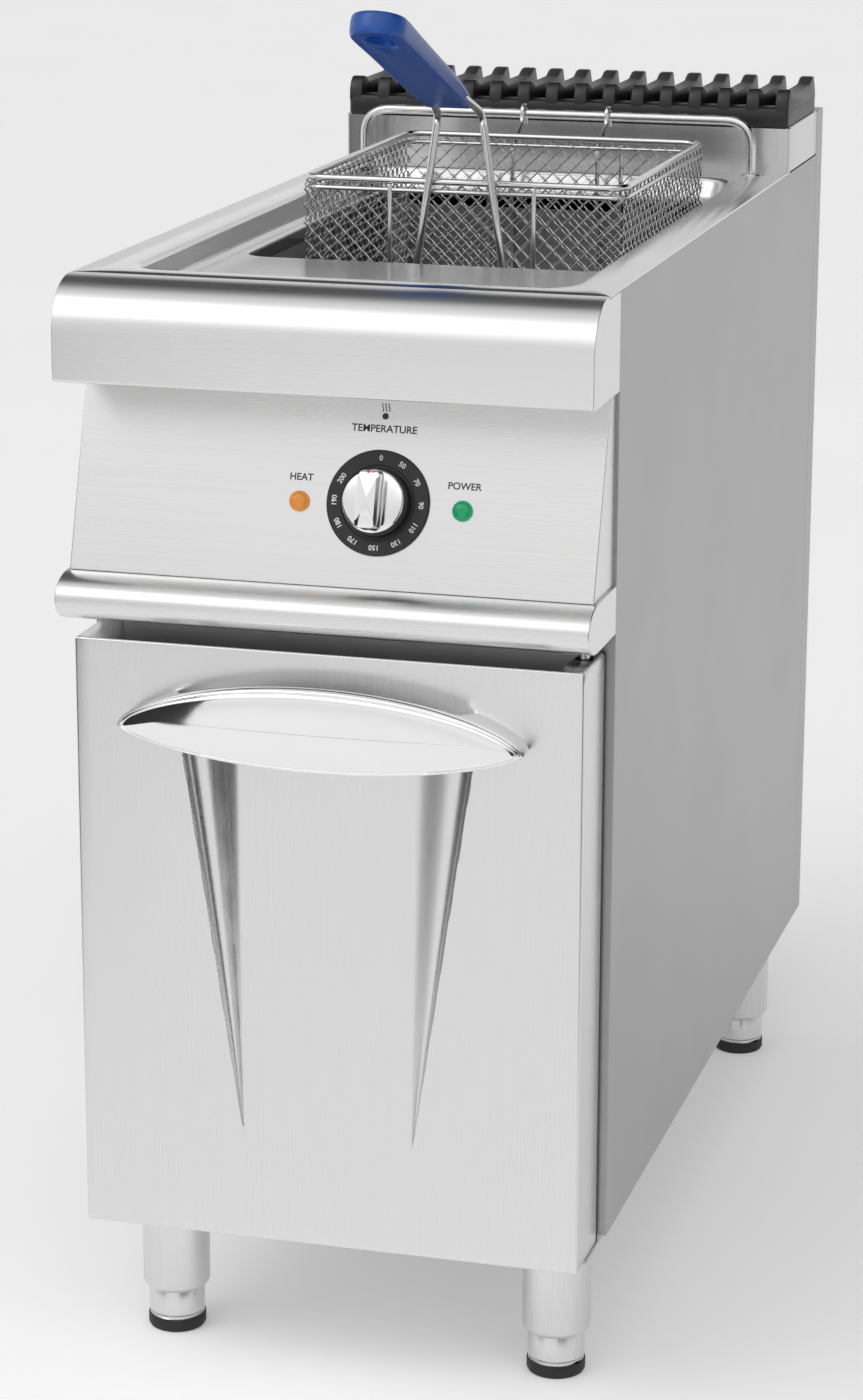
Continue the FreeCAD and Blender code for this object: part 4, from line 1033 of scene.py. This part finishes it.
@dataclass
class Door:
    """Pressed door skin with two tapered flutes and a polished shield handle."""

    bend: float = 0.0022
    tip_level: float = 0.207
    top_level: float = 0.520
    tip_half: float = 0.0655
    spread: float = 0.0235
    depth: float = 0.0105
    gauge: float = 0.0015
    return_depth: float = 0.012
    shield_level: float = 0.526
    shield_half: float = 0.1535
    shield_taper: float = 1.30
    shield_inset: float = 0.0364
    shield_middle: float = 0.0365
    shield_bow: float = 0.012
    shield_lift: float = 0.008
    finger_depth: float = 0.013
    finger_half: float = 0.106

    def flute_depth(self, x: np.ndarray, z: np.ndarray) -> np.ndarray:
        """Depth of the pressed flutes at places on the face.

        Along the flute, t runs from 0 at the tip to 1 at the top. The inner edge stays upright and
        the outer edge leans away, so the half width is spread * t. Across it, u runs from 0 at the
        inner edge to 1 at the outer edge: a smooth ramp down to u = 0.7, then a circle's arc up to
        the sharp outer edge.

        Args:
            x: Places across the door.
            z: Levels.

        Returns:
            Depths in metres.
        """
        t = np.clip((z - self.tip_level) / (self.top_level - self.tip_level), 0, 1)
        half = self.spread * t + 1e-6
        u = (np.abs(x) - self.tip_half) / (2 * half)
        ramp = np.clip(u / 0.7, 0, 1)
        inner = ramp ** 2 * (3 - 2 * ramp)
        outer = np.sqrt(np.clip(1 - ((u - 0.7) / 0.3) ** 2, 0, 1))
        shape = np.where(u < 0.7, inner, outer) * (u > 0) * (u < 1)
        fade = np.clip((self.top_level + 0.014 - z) / 0.012, 0, 1)
        return self.depth * t ** 0.6 * shape * fade

    def build(self) -> None:
        """Make the skin and its handle."""
        low, high = span("door_skin")
        r = self.bend
        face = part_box("door_handle")[1][1]
        fine = np.linspace(0.060, 0.118, 90)
        x = np.unique(np.concatenate([np.linspace(low[0] + r, -0.119, 8), -fine,
                                      np.linspace(-0.059, 0.059, 12), fine,
                                      np.linspace(0.119, high[0] - r, 8)]))
        z = np.unique(np.concatenate([np.linspace(low[2] + r, 0.199, 8), np.linspace(0.2, 0.54, 150),
                                      np.linspace(0.54, high[2] - r, 6)]))
        grid_z, grid_x = np.meshgrid(z, x, indexing="ij")
        points = np.stack([grid_x, face + self.flute_depth(grid_x, grid_z), grid_z], axis=-1)
        front = lattice(len(z), len(x))
        border = np.concatenate([np.column_stack([x, np.full(len(x), z[0])]),
                                 np.column_stack([np.full(len(z), x[-1]), z]),
                                 np.column_stack([x[::-1], np.full(len(x), z[-1])]),
                                 np.column_stack([np.full(len(z), x[0]), z[::-1]])])
        aim = np.concatenate([np.tile((0, -1), (len(x), 1)), np.tile((1, 0), (len(z), 1)),
                              np.tile((0, 1), (len(x), 1)), np.tile((-1, 0), (len(z), 1))])

        def loop(grow: float, depth: float) -> np.ndarray:
            """Face's border drawn outwards by a length, at a depth."""
            flat = border + aim * grow
            return np.column_stack([flat[:, 0], np.full(len(flat), depth), flat[:, 1]])

        turn = np.radians(np.linspace(0, 90, 7))
        rings = [loop(r * math.sin(a), face + r * (1 - math.cos(a))) for a in turn]
        rings += [loop(r, high[1]), loop(r - self.gauge, high[1]),
                  loop(r - self.gauge, face + self.return_depth)]
        edge = lattice(len(rings), len(border), False, True) + len(z) * len(x)
        everything = np.vstack([points.reshape(-1, 3), np.array(rings).reshape(-1, 3)])
        skin_piece = add_piece("door_pressing", everything, np.vstack([front, edge]), 50)
        fit(skin_piece, "door", FINISHES.door, ["door_skin"])
        self.build_handle()

    def build_handle(self) -> None:
        """Make the shield: lens outline with rounded tips, crowned face, rim and hollow back.

        The outline is two arcs that meet at the tips; each ring is the outline shrunk towards
        its middle line, set back by the bow of the face. Between the grip ends the wall is cut
        short to leave the finger gap.
        """
        low, high = span("door_handle")
        level, half, taper = self.shield_level, self.shield_half, self.shield_taper
        rise, fall = high[2] - level, level - low[2]
        u = np.linspace(-math.pi / 2, math.pi / 2, 96)
        upper = np.column_stack([half * np.sin(u), rise * np.cos(u) ** taper])
        lower = np.column_stack([half * np.sin(u[::-1]), -fall * np.cos(u[::-1]) ** taper])
        outline = np.vstack([upper[1:-1], lower[1:-1]])
        bow = self.shield_bow * (outline[:, 0] / half) ** 2

        def ring(shrink: float, back: np.ndarray | float) -> np.ndarray:
            """Draw the outline in by a length, at a distance behind the bowed front.

            Args:
                shrink: Length drawn in towards the middle line.
                back: Distance behind the front.

            Returns:
                Array of points.
            """
            pull = 1 - shrink / self.shield_middle
            x = outline[:, 0] * ((half - shrink) / half)
            z = outline[:, 1] * max(pull, 0.0)
            face = low[1] + self.shield_bow * (x / half) ** 2
            return np.column_stack([x, face + back, level + self.shield_lift * (1 - pull) + z])

        gate = np.clip((np.abs(outline[:, 0]) - self.finger_half) / 0.008, 0, 1)
        deep = self.finger_depth + gate * (high[1] - low[1] - self.finger_depth - bow)
        rings = [ring(s, 0.0003 + 0.0042 * (1 - math.sqrt(max(0.0, 1 - (1 - s / 0.036) ** 2))) * 0.9)
                 for s in np.linspace(self.shield_inset, 0.006, 14)]
        rings += [ring(0.0045, 0.0036), ring(0.0034, 0.0028), ring(0.0020, 0.0031), ring(0.0008, 0.0046),
                  ring(0.0, 0.0068), ring(0.0, 0.0095), ring(0.0004, deep * 0.96), ring(0.0008, deep),
                  ring(0.0024, deep), ring(0.0030, 0.0100), ring(0.0060, 0.0082),
                  ring(self.shield_inset, 0.0075)]
        shield = skin("handle_shield", np.array(rings), smooth=60)
        fit(shield, "door", FINISHES.chrome, ["door_handle"])


# ---------------------------------------------------------------- basket

@dataclass
class Basket:
    """Woven wire basket with rims, stiffeners, hooks and the blue grip."""

    pitch: float = 0.0096
    wire: float = 0.00062
    crimp: float = 0.0007
    inset: float = 0.0015
    rim_rod: float = 0.0028
    second_rod: float = 0.0019
    foot_rod: float = 0.0017
    hook_rod: float = 0.0021
    leg_rod: float = 0.0030
    corner: float = 0.016
    second_grow: float = 0.0012
    second_drop: float = 0.0075
    stiffener_half: float = 0.0585
    stiffener_out: float = 0.0026
    hook_half: float = 0.0375
    leg_halves: tuple[float, float, float] = (0.037, 0.0175, 0.0140)
    leg_shoulder: float = 0.938
    grip_rise: float = 0.092
    grip_run: float = 0.246
    grip_length: float = 0.232
    grip_half: float = 0.021
    grip_thick: float = 0.0082
    hole_half: float = 0.0105
    hole_reach: float = 0.0175
    hole_inset: float = 0.030

    def weave(self, name: str, low: Sequence[float], across: Sequence[float], up: Sequence[float],
              width: float, height: float, out: Sequence[float]) -> bpy.types.Object:
        """Diagonal woven mesh over a flat wall.

        Wires run at 45 degrees both ways, a pitch apart. Each is a straight line cut to the wall
        plus crimp * cos(pi * distance / half pitch) along the wall's outward direction, and the
        two sets are half a wave apart, so that they pass over and under.

        Args:
            name: Piece name.
            low: The wall's corner.
            across: Unit direction of its width.
            up: Unit direction of its height.
            width: Width in metres.
            height: Height in metres.
            out: Unit outward direction.

        Returns:
            The mesh wall.
        """
        low, across, up, out = (np.asarray(v, dtype=float) for v in (low, across, up, out))
        step = self.pitch * math.sqrt(2)
        starts = np.arange(-height + step / 2, width, step)
        samples = int(min(width, height) / self.pitch * math.sqrt(2) * 6)
        paths = []
        for slant in (1, -1):
            a0, a1 = np.maximum(starts, 0), np.minimum(starts + height, width)
            keep = a1 - a0 > 0.002
            a0, a1, first = a0[keep], a1[keep], starts[keep]
            t = np.linspace(0, 1, samples)
            a = a0[:, None] + (a1 - a0)[:, None] * t
            b = a - first[:, None]
            b = b if slant > 0 else height - b
            wave = self.crimp * slant * np.cos(math.pi * (a + slant * b) / step * 2)
            paths.append(low + a[..., None] * across + b[..., None] * up + wave[..., None] * out)
        return tubes(name, np.concatenate(paths), self.wire, out, 4, capped=False)

    def build(self) -> None:
        """Make the five mesh walls, the wires, hooks, fork and grip."""
        low, high = span("basket_mesh")
        inset = self.inset
        self.middle = (low[0] + high[0]) / 2
        x0, x1, y0, y1 = low[0] + inset, high[0] - inset, low[1] + inset, high[1] - inset
        z0, top = low[2] + inset, high[2]
        walls = [("front", (x0, y0, z0), (1, 0, 0), x1 - x0, (0, -1, 0)),
                 ("rear", (x0, y1, z0), (1, 0, 0), x1 - x0, (0, 1, 0)),
                 ("left", (x0, y0, z0), (0, 1, 0), y1 - y0, (-1, 0, 0)),
                 ("right", (x1, y0, z0), (0, 1, 0), y1 - y0, (1, 0, 0))]
        pieces = [self.weave(f"weave_{name}", corner, across, (0, 0, 1), width, top - z0, out)
                  for name, corner, across, width, out in walls]
        pieces.append(self.weave("weave_floor", (x0, y0, z0), (1, 0, 0), (0, 1, 0), x1 - x0, y1 - y0,
                                 (0, 0, 1)))
        for piece in pieces:
            fit(piece, "basket", FINISHES.mesh, ["basket_mesh"] if piece is pieces[0] else ())
        rim_z = (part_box("basket_rim")[0][2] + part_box("basket_rim")[1][2]) / 2
        self.build_rings((x0, x1), (y0, y1), z0, rim_z)
        self.build_stiffeners((y0, y1), z0, rim_z)
        self.build_hooks()
        self.build_fork()
        self.build_grip()

    def build_rings(self, x: tuple[float, float], y: tuple[float, float], foot_z: float,
                    rim_z: float) -> None:
        """Make the two rim rods and the foot rod.

        Args:
            x: Low and high side of the basket.
            y: Front and rear of the basket.
            foot_z: Level of its floor.
            rim_z: Level of its rim.
        """
        level = (0, 0, 1)
        loop = rounded_ring(x, y, self.corner, rim_z, 12, 10)
        rim = tubes("rim_rod", loop, self.rim_rod, level, 12, closed=True)
        fit(rim, "basket", FINISHES.wire, ["basket_rim"])
        grow = self.second_grow
        loop = rounded_ring((x[0] - grow, x[1] + grow), (y[0] - grow, y[1] + grow), self.corner,
                            rim_z - self.second_drop, 12, 10)
        second = tubes("rim_second_rod", loop, self.second_rod, level, 10, closed=True)
        fit(second, "basket", FINISHES.wire)
        loop = rounded_ring(x, y, 0.012, foot_z + 0.001, 10, 8)
        foot = tubes("foot_rod", loop, self.foot_rod, level, 8, closed=True)
        fit(foot, "basket", FINISHES.wire)

    def build_stiffeners(self, y: tuple[float, float], foot_z: float, rim_z: float) -> None:
        """Make the upright wires on the front and rear walls.

        Args:
            y: Front and rear of the basket.
            foot_z: Level of its floor.
            rim_z: Level of its rim.
        """
        bars = []
        for across in (self.middle - self.stiffener_half, self.middle + self.stiffener_half):
            for depth in (y[0] - self.stiffener_out, y[1] + self.stiffener_out):
                bars.append(filleted([(across, depth, foot_z), (across, depth, (foot_z + rim_z) / 2),
                                      (across, depth, rim_z - 0.004)], 0.01))
        fit(tubes("stiffener_wires", np.array(bars), self.second_rod, (0, 1, 0), 10), "basket",
            FINISHES.wire, ["basket_stiffeners"])

    def build_hooks(self) -> None:
        """Make the two hooks: up the rear wall, back to the rail, over it and down."""
        low, high = span("basket_hooks")
        rail = span("basket_rail")
        centre = (rail[0][1] + rail[1][1]) / 2
        start, crown = low[1] + 0.002, high[2] - 0.002
        near, far = centre - 0.0066, centre + 0.0064
        hooks = []
        for across in (self.middle - self.hook_half, self.middle + self.hook_half):
            path = [(across, start, low[2]), (across, start, crown - 0.045), (across, start, crown - 0.0305),
                    (across, near, crown - 0.0125), (across, near, crown), (across, far, crown),
                    (across, far, crown - 0.016)]
            hooks.append(filleted(path, 0.0055, 8))
        fit(tubes("rail_hooks", np.array(hooks), self.hook_rod, (1, 0, 0), 10), "basket", FINISHES.wire,
            ["basket_hooks"])

    def build_fork(self) -> None:
        """Make the two handle legs: out of the front wall, up, together and forward."""
        low, high = span("handle_legs")
        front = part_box("basket_mesh")[0][1] - 0.0058
        legs = []
        for side in (-1, 1):
            foot, top, end = (self.middle + side * half for half in self.leg_halves)
            path = [(foot, front + 0.0056, low[2] + 0.004), (foot, front, low[2] + 0.006),
                    (top, front, self.leg_shoulder), (end, low[1] + 0.001, high[2] - 0.003)]
            legs.append(filleted(path, 0.012, 10))
        fit(tubes("fork_wires", np.array(legs), self.leg_rod, (1, 0, 0), 14), "basket", FINISHES.wire,
            ["handle_legs"])

    def build_grip(self) -> None:
        """Make the paddle grip: rings from the hang hole's wall over the top, round the edge and back.

        Each ring is a blend between the hole's outline and the paddle's outline along rays from
        the hole's centre, and the thickness follows a flattened circle near both edges. Along a ray
        the paddle ends at the first of its side, its rear end or the half circle at its tip.
        """
        low, high = span("handle_grip")
        slope = math.atan2(self.grip_rise, self.grip_run)
        along = np.array([0, -math.cos(slope), math.sin(slope)])
        over = np.array([0, math.sin(slope), math.cos(slope)])
        length, half, thick = self.grip_length, self.grip_half, self.grip_thick
        rear = np.array([self.middle, high[1] - 0.0030, low[2] + 0.0079])
        hole_at = length - self.hole_inset
        count = 144
        turn = np.linspace(0, 2 * math.pi, count, endpoint=False)
        ray = np.column_stack([np.sin(turn), np.cos(turn)])
        hole = ray * np.column_stack([np.full(count, self.hole_half), np.full(count, self.hole_reach)])
        reach_side = half / np.maximum(np.abs(ray[:, 0]), 1e-6)
        back = hole_at / np.maximum(-ray[:, 1], 1e-6)
        reach_back = np.where(ray[:, 1] < 0, back, 1.0)
        flat = np.minimum(reach_side, reach_back)
        tip = length - hole_at - half
        b = -ray[:, 1] * tip
        cap = np.sqrt(np.clip(b ** 2 - tip ** 2 + half ** 2, 0, None)) - b
        capped = np.where(ray[:, 1] * flat > tip, cap, flat)
        outer = ray * np.minimum(flat, np.where(ray[:, 1] > 0, np.maximum(capped, 0.001), flat))[:, None]
        outer[:, 0] *= 1 - 0.10 * np.clip(-outer[:, 1] / hole_at, 0, 1)

        def ring(share: float, lift: float) -> np.ndarray:
            """Loop between the hole and the outline, raised over the paddle's middle.

            Args:
                share: 0 at the hole, 1 at the outline.
                lift: Share of the thickness.

            Returns:
                Array of points.
            """
            loop = hole * (1 - share) + outer * share
            sideways = loop[:, :1] * np.array([1.0, 0, 0])
            return rear + sideways + (hole_at + loop[:, 1:]) * along + lift * thick * over

        edge_in, edge_out = np.radians(np.linspace(0, 90, 6)), np.radians(np.linspace(0, 90, 9))
        top = [ring(0.10 * (1 - math.cos(a)), 0.55 + 0.45 * math.sin(a)) for a in edge_in]
        middle = [(s, 1.0 - 0.12 * math.sin(math.pi * (s - 0.1) / 0.75)) for s in np.linspace(0.25, 0.75, 5)]
        top += [ring(s, lift) for s, lift in middle]
        top += [ring(0.84 + 0.16 * math.sin(a), 0.25 + 0.75 * math.cos(a)) for a in edge_out]
        bottom = [ring(0.84 + 0.16 * math.sin(a), -0.25 - 0.75 * math.cos(a)) for a in edge_out[::-1]]
        bottom += [ring(s, -lift) for s, lift in middle[::-1]]
        bottom += [ring(0.10 * (1 - math.cos(a)), -0.55 - 0.45 * math.sin(a)) for a in edge_in[::-1]]
        grip = skin("grip_paddle", np.array(top + bottom), closed=True, smooth=60)
        fit(grip, "basket", FINISHES.grip, ["handle_grip"])


# ---------------------------------------------------------------- rear and feet

@dataclass
class Rear:
    """Cast grate and the basket rail."""

    ridges: int = 16
    ridge: float = 0.012
    band: float = 0.017
    side_rim: float = 0.008
    front_rim: float = 0.018
    rear_rim: float = 0.020
    rail_rod: float = 0.004
    rail_bend: float = 0.024

    def build(self) -> None:
        """Make the grate and the basket rail."""
        self.build_grate()
        self.build_rail()

    def build_grate(self) -> None:
        """Make the grate's frame as rings and its ridges as rounded bars from front to rear."""
        low, high = span("flue_grate")
        band = low[2] + self.band
        rings = []
        for o, z in ((0.0005, low[2]), (0, low[2] + 0.001), (0, band - 0.004), (0.0012, band - 0.0012),
                     (0.004, band)):
            rings.append(rounded_ring((low[0] + o, high[0] - o), (low[1] + o, high[1] - o), 0.004, z, 6, 6))
        inner_x = (low[0] + self.side_rim, high[0] - self.side_rim)
        inner_y = (low[1] + self.front_rim, high[1] - self.rear_rim)
        for z in (band, low[2]):
            rings.append(rounded_ring(inner_x, inner_y, 0.003, z, 6, 6))
        bars = [skin("grate_frame", np.array(rings), closed=True)]
        front, rear, top = low[1], high[1], high[2]
        outline = np.array([(front + 0.0002, band - 0.006), (front + 0.0012, band + 0.005),
                            (front + 0.0050, top - 0.003), (front + 0.0100, top),
                            (front + 0.0165, top - 0.0005), (front + 0.0240, top - 0.0050),
                            (rear - 0.030, top - 0.0050), (rear - 0.018, top - 0.0005),
                            (rear - 0.009, top), (rear - 0.001, band), (rear - 0.001, band - 0.006)])
        pitch = (high[0] - low[0] - self.ridge) / (self.ridges - 1)
        for i in range(self.ridges):
            left = low[0] + i * pitch
            bars.append(prism(f"ridge_{i}", outline, 0, left, left + self.ridge, 0.0018))
        fit(merge("grate_casting", bars), "flue_grate", FINISHES.iron, ["flue_grate"])

    def build_rail(self) -> None:
        """Make the rail as one bent rod with a washer at each foot."""
        low, high = span("basket_rail")
        y, r = (low[1] + high[1]) / 2, self.rail_rod
        left, right, top = low[0] + r, high[0] - r, high[2] - r
        path = filleted([(left, y, low[2]), (left, y, top), (right, y, top), (right, y, low[2])],
                        self.rail_bend, 14)
        fit(tubes("rail_rod", path, r, (0, 1, 0), 18), "cabinet", FINISHES.wire, ["basket_rail"])
        profile = [(0, 0.0), (0.009, 0.0), (0.009, 0.0012), (0.0082, 0.002), (0, 0.002)]
        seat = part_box("rail_flanges")[0][2]
        washers = [turned(f"washer_{i}", profile, (x, y, seat)) for i, x in enumerate((left, right))]
        fit(merge("rail_washers", washers), "cabinet", FINISHES.wire, ["rail_flanges"])


@dataclass
class Feet:
    """Legs with a stepped tube, adjusting collar and rubber cap."""

    tube: float = 0.0265
    foot: float = 0.0221

    def build(self) -> None:
        """Make four legs by turning their profiles."""
        t, f = self.tube, self.foot
        sleeve = [(0, 0.1279), (t, 0.1279), (t, 0.0395), (t - 0.0008, 0.0375), (f + 0.0006, 0.0345),
                  (f - 0.002, 0.0345), (0, 0.0345)]
        screw = [(0, 0.1), (f - 0.0005, 0.1), (f - 0.0005, 0.034), (f, 0.033), (f, 0.0145),
                 (f - 0.001, 0.013), (f - 0.001, 0.0115), (f, 0.0105), (f, 0.009), (0, 0.009)]
        cap = [(0, 0.0), (0.0205, 0.0), (0.0216, 0.0006), (0.0228, 0.003), (0.0228, 0.0095),
               (0.0225, 0.0108), (0.0215, 0.011), (0.0, 0.011)]
        legs = []
        for name in ("front_left", "front_right", "rear_left", "rear_right"):
            low, high = span(f"foot_tube_{name}")
            place = ((low[0] + high[0]) / 2, (low[1] + high[1]) / 2, 0)
            body = f"foot_{name}"
            legs.append(turned(f"tube_{name}", sleeve, place, sides=72))
            fit(turned(f"screw_{name}", screw, place, sides=72), body, FINISHES.leg,
                [f"foot_tube_{name}"])
            fit(turned(f"cap_{name}", cap, place, sides=72), body, FINISHES.rubber,
                [f"foot_cap_{name}"])
        fit(merge("leg_sleeves", legs), "cabinet", FINISHES.leg, ["leg_tubes"])


@dataclass
class Inside:
    """Finishes of the CAD pieces that stay as they are."""

    def build(self) -> None:
        """Paint every carried-over node."""
        chosen = {
            FINISHES.inner: ["base_plate", "header_rail", "oil_tank", "element_head", "door_liner",
                             "lower_brackets", "upper_hinge_bracket", "drain_pipes"],
            FINISHES.wire: ["basket_rest_grid", "thermostat_bulb"],
            FINISHES.element: ["heating_elements"],
            FINISHES.fastener: ["handle_screws", "hinge_pins", "knob_spindle", "valve_stem", "valve_lever",
                                "catch_plate"],
            FINISHES.brass: ["drain_valve_body", "hinge_bushes"],
            FINISHES.sleeve: ["lever_sleeve"],
            FINISHES.black: ["thermostat_body", "lamp_bodies", "contactor", "door_catch", "cable_gland"],
            FINISHES.ceramic: ["terminal_block"],
        }
        for finish, nodes in chosen.items():
            for node in nodes:
                paint(frame["nodes"][node], finish)


# ---------------------------------------------------------------- studio

@dataclass
class Studio:
    """Camera, floor, sky and lights."""

    place: tuple[float, float, float] = (0.7807, -2.9511, 1.2782)
    yaw: float = -15.503
    pitch: float = 15.382
    roll: float = 0.162
    lens: float = 97.278

    def build(self) -> None:
        """Set up the view and the light."""
        data = bpy.data.cameras.new("view")
        data.lens = self.lens
        data.sensor_width = 36
        camera = linked("view", data)
        camera.location = self.place
        yaw, pitch = math.radians(self.yaw), math.radians(self.pitch)
        level = math.cos(pitch)
        ahead = Vector((math.sin(yaw) * level, math.cos(yaw) * level, -math.sin(pitch)))
        lean = Euler((0, 0, math.radians(self.roll))).to_quaternion()
        camera.rotation_mode = "QUATERNION"
        camera.rotation_quaternion = ahead.to_track_quat("-Z", "Y") @ lean
        bpy.context.scene.camera = camera
        self.build_floor()
        self.build_flags()
        self.build_sky()
        self.add_lamp("key", (-2.4, -2.6, 3.8), 2.2, 26)
        bpy.context.scene.view_settings.view_transform = "Standard"

    def add_lamp(self, name: str, place: tuple[float, float, float], width: float, watts: float) -> None:
        """Add a soft square light aimed at the cabinet.

        Args:
            name: Light name.
            place: Its place.
            width: Side of the square.
            watts: Power.
        """
        data = bpy.data.lights.new(name, "AREA")
        data.size = width
        data.energy = watts
        lamp = linked(name, data)
        lamp.location = place
        lamp.rotation_euler = (Vector((0, 0, 0.4)) - Vector(place)).to_track_quat("-Z", "Y").to_euler()

    def build_floor(self) -> None:
        """Lay a pale matt floor."""
        reach = 40.0
        points = np.array([(-reach, -reach, 0), (reach, -reach, 0), (reach, reach, 0), (-reach, reach, 0)])
        floor = add_piece("floor", points, np.array([[0, 1, 2, 3]]))
        shader = Shader("floor_pale")
        shader.set(Roughness=0.9, Emission_Color=(1, 1, 1, 1), Emission_Strength=0.22)
        shader.principled.inputs["Specular IOR Level"].default_value = 0.1
        shader.tint(shader.noise((2, 2, 2)), (0.93, 0.93, 0.93), (0.95, 0.95, 0.95))
        floor.data.materials.append(shader.material)

    def build_flags(self) -> None:
        """Stand two dark flags beside the view that only polished surfaces show."""
        shader = Shader("flag_dark")
        shader.set(Roughness=0.9)
        shader.tint(shader.noise((2, 2, 2)), (0.02, 0.02, 0.02), (0.03, 0.03, 0.03))
        for name, x, y in (("flag_left", -1.0, (-2.0, -0.6)), ("flag_right", 0.8, (-2.2, -0.8))):
            points = np.array([(x, y[0], 0.01), (x, y[1], 0.01), (x, y[1], 0.9), (x, y[0], 0.9)])
            flag = add_piece(name, points, np.array([[0, 1, 2, 3]]))
            flag.data.materials.append(shader.material)
            flag.visible_camera = flag.visible_shadow = flag.visible_diffuse = False

    def build_sky(self) -> None:
        """Light the room from all round: bright overhead and in front, a dark band high at the back."""
        world = bpy.data.worlds.new("room")
        bpy.context.scene.world = world
        world.use_nodes = True
        nodes, links = world.node_tree.nodes, world.node_tree.links
        split = nodes.new("ShaderNodeSeparateXYZ")
        links.new(nodes.new("ShaderNodeTexCoord").outputs["Generated"], split.inputs[0])

        def ramp(socket: bpy.types.NodeSocket, low: float, high: float, start: float,
                 end: float) -> bpy.types.NodeSocket:
            """Smooth step of a value on to a range.

            Args:
                socket: The value.
                low: Value that gives the start.
                high: Value that gives the end.
                start: Result at and below low.
                end: Result at and above high.

            Returns:
                The result's socket.
            """
            node = nodes.new("ShaderNodeMapRange")
            node.interpolation_type = "SMOOTHSTEP"
            for key, value in (("From Min", low), ("From Max", high), ("To Min", start), ("To Max", end)):
                node.inputs[key].default_value = value
            links.new(socket, node.inputs["Value"])
            return node.outputs["Result"]

        def math_of(kind: str, a: bpy.types.NodeSocket,
                    b: bpy.types.NodeSocket | float) -> bpy.types.NodeSocket:
            """Join two values with an operation.

            Args:
                kind: The operation.
                a: First value.
                b: Second value, a socket or a number.

            Returns:
                The result's socket.
            """
            node = nodes.new("ShaderNodeMath")
            node.operation = kind
            links.new(a, node.inputs[0])
            if isinstance(b, float):
                node.inputs[1].default_value = b
            else:
                links.new(b, node.inputs[1])
            return node.outputs[0]

        x, y, z = split.outputs["X"], split.outputs["Y"], split.outputs["Z"]
        band = math_of("MULTIPLY", ramp(z, 0.34, 0.52, 0.0, 1.0), ramp(z, 0.90, 0.99, 1.0, 0.0))
        back = math_of("MULTIPLY", band, ramp(y, -0.02, 0.30, 0.0, 1.0))
        dim = math_of("MULTIPLY", back, 0.72)
        side = ramp(x, 0.30, 0.95, 0.0, 0.45)
        strip = math_of("MULTIPLY", ramp(z, 0.30, 0.62, 0.0, 0.55), ramp(y, -0.45, -0.10, 1.0, 0.0))
        lit = math_of("SUBTRACT", strip, ramp(z, 0.02, 0.22, 0.0, 0.12))
        level = math_of("SUBTRACT", math_of("SUBTRACT", math_of("ADD", lit, 0.90), dim), side)
        mix = nodes.new("ShaderNodeMix")
        mix.data_type = "FLOAT"
        links.new(nodes.new("ShaderNodeLightPath").outputs["Is Camera Ray"], mix.inputs[0])
        links.new(level, mix.inputs[2])
        mix.inputs[3].default_value = 1.0
        links.new(mix.outputs[0], nodes["Background"].inputs["Strength"])
        nodes["Background"].inputs["Color"].default_value = (1, 1, 1, 1)


def main() -> None:
    """Build the fryer from front to rear and light it."""
    logging.basicConfig(level=logging.INFO)
    parts = (Studio(), Casing(), Front(), Worktop(), Controls(), Door(), Basket(), Rear(), Feet(), Inside())
    for part in parts:
        LOG.info("building %s", type(part).__name__)
        part.build()


if __name__ == "__main__":
    main()
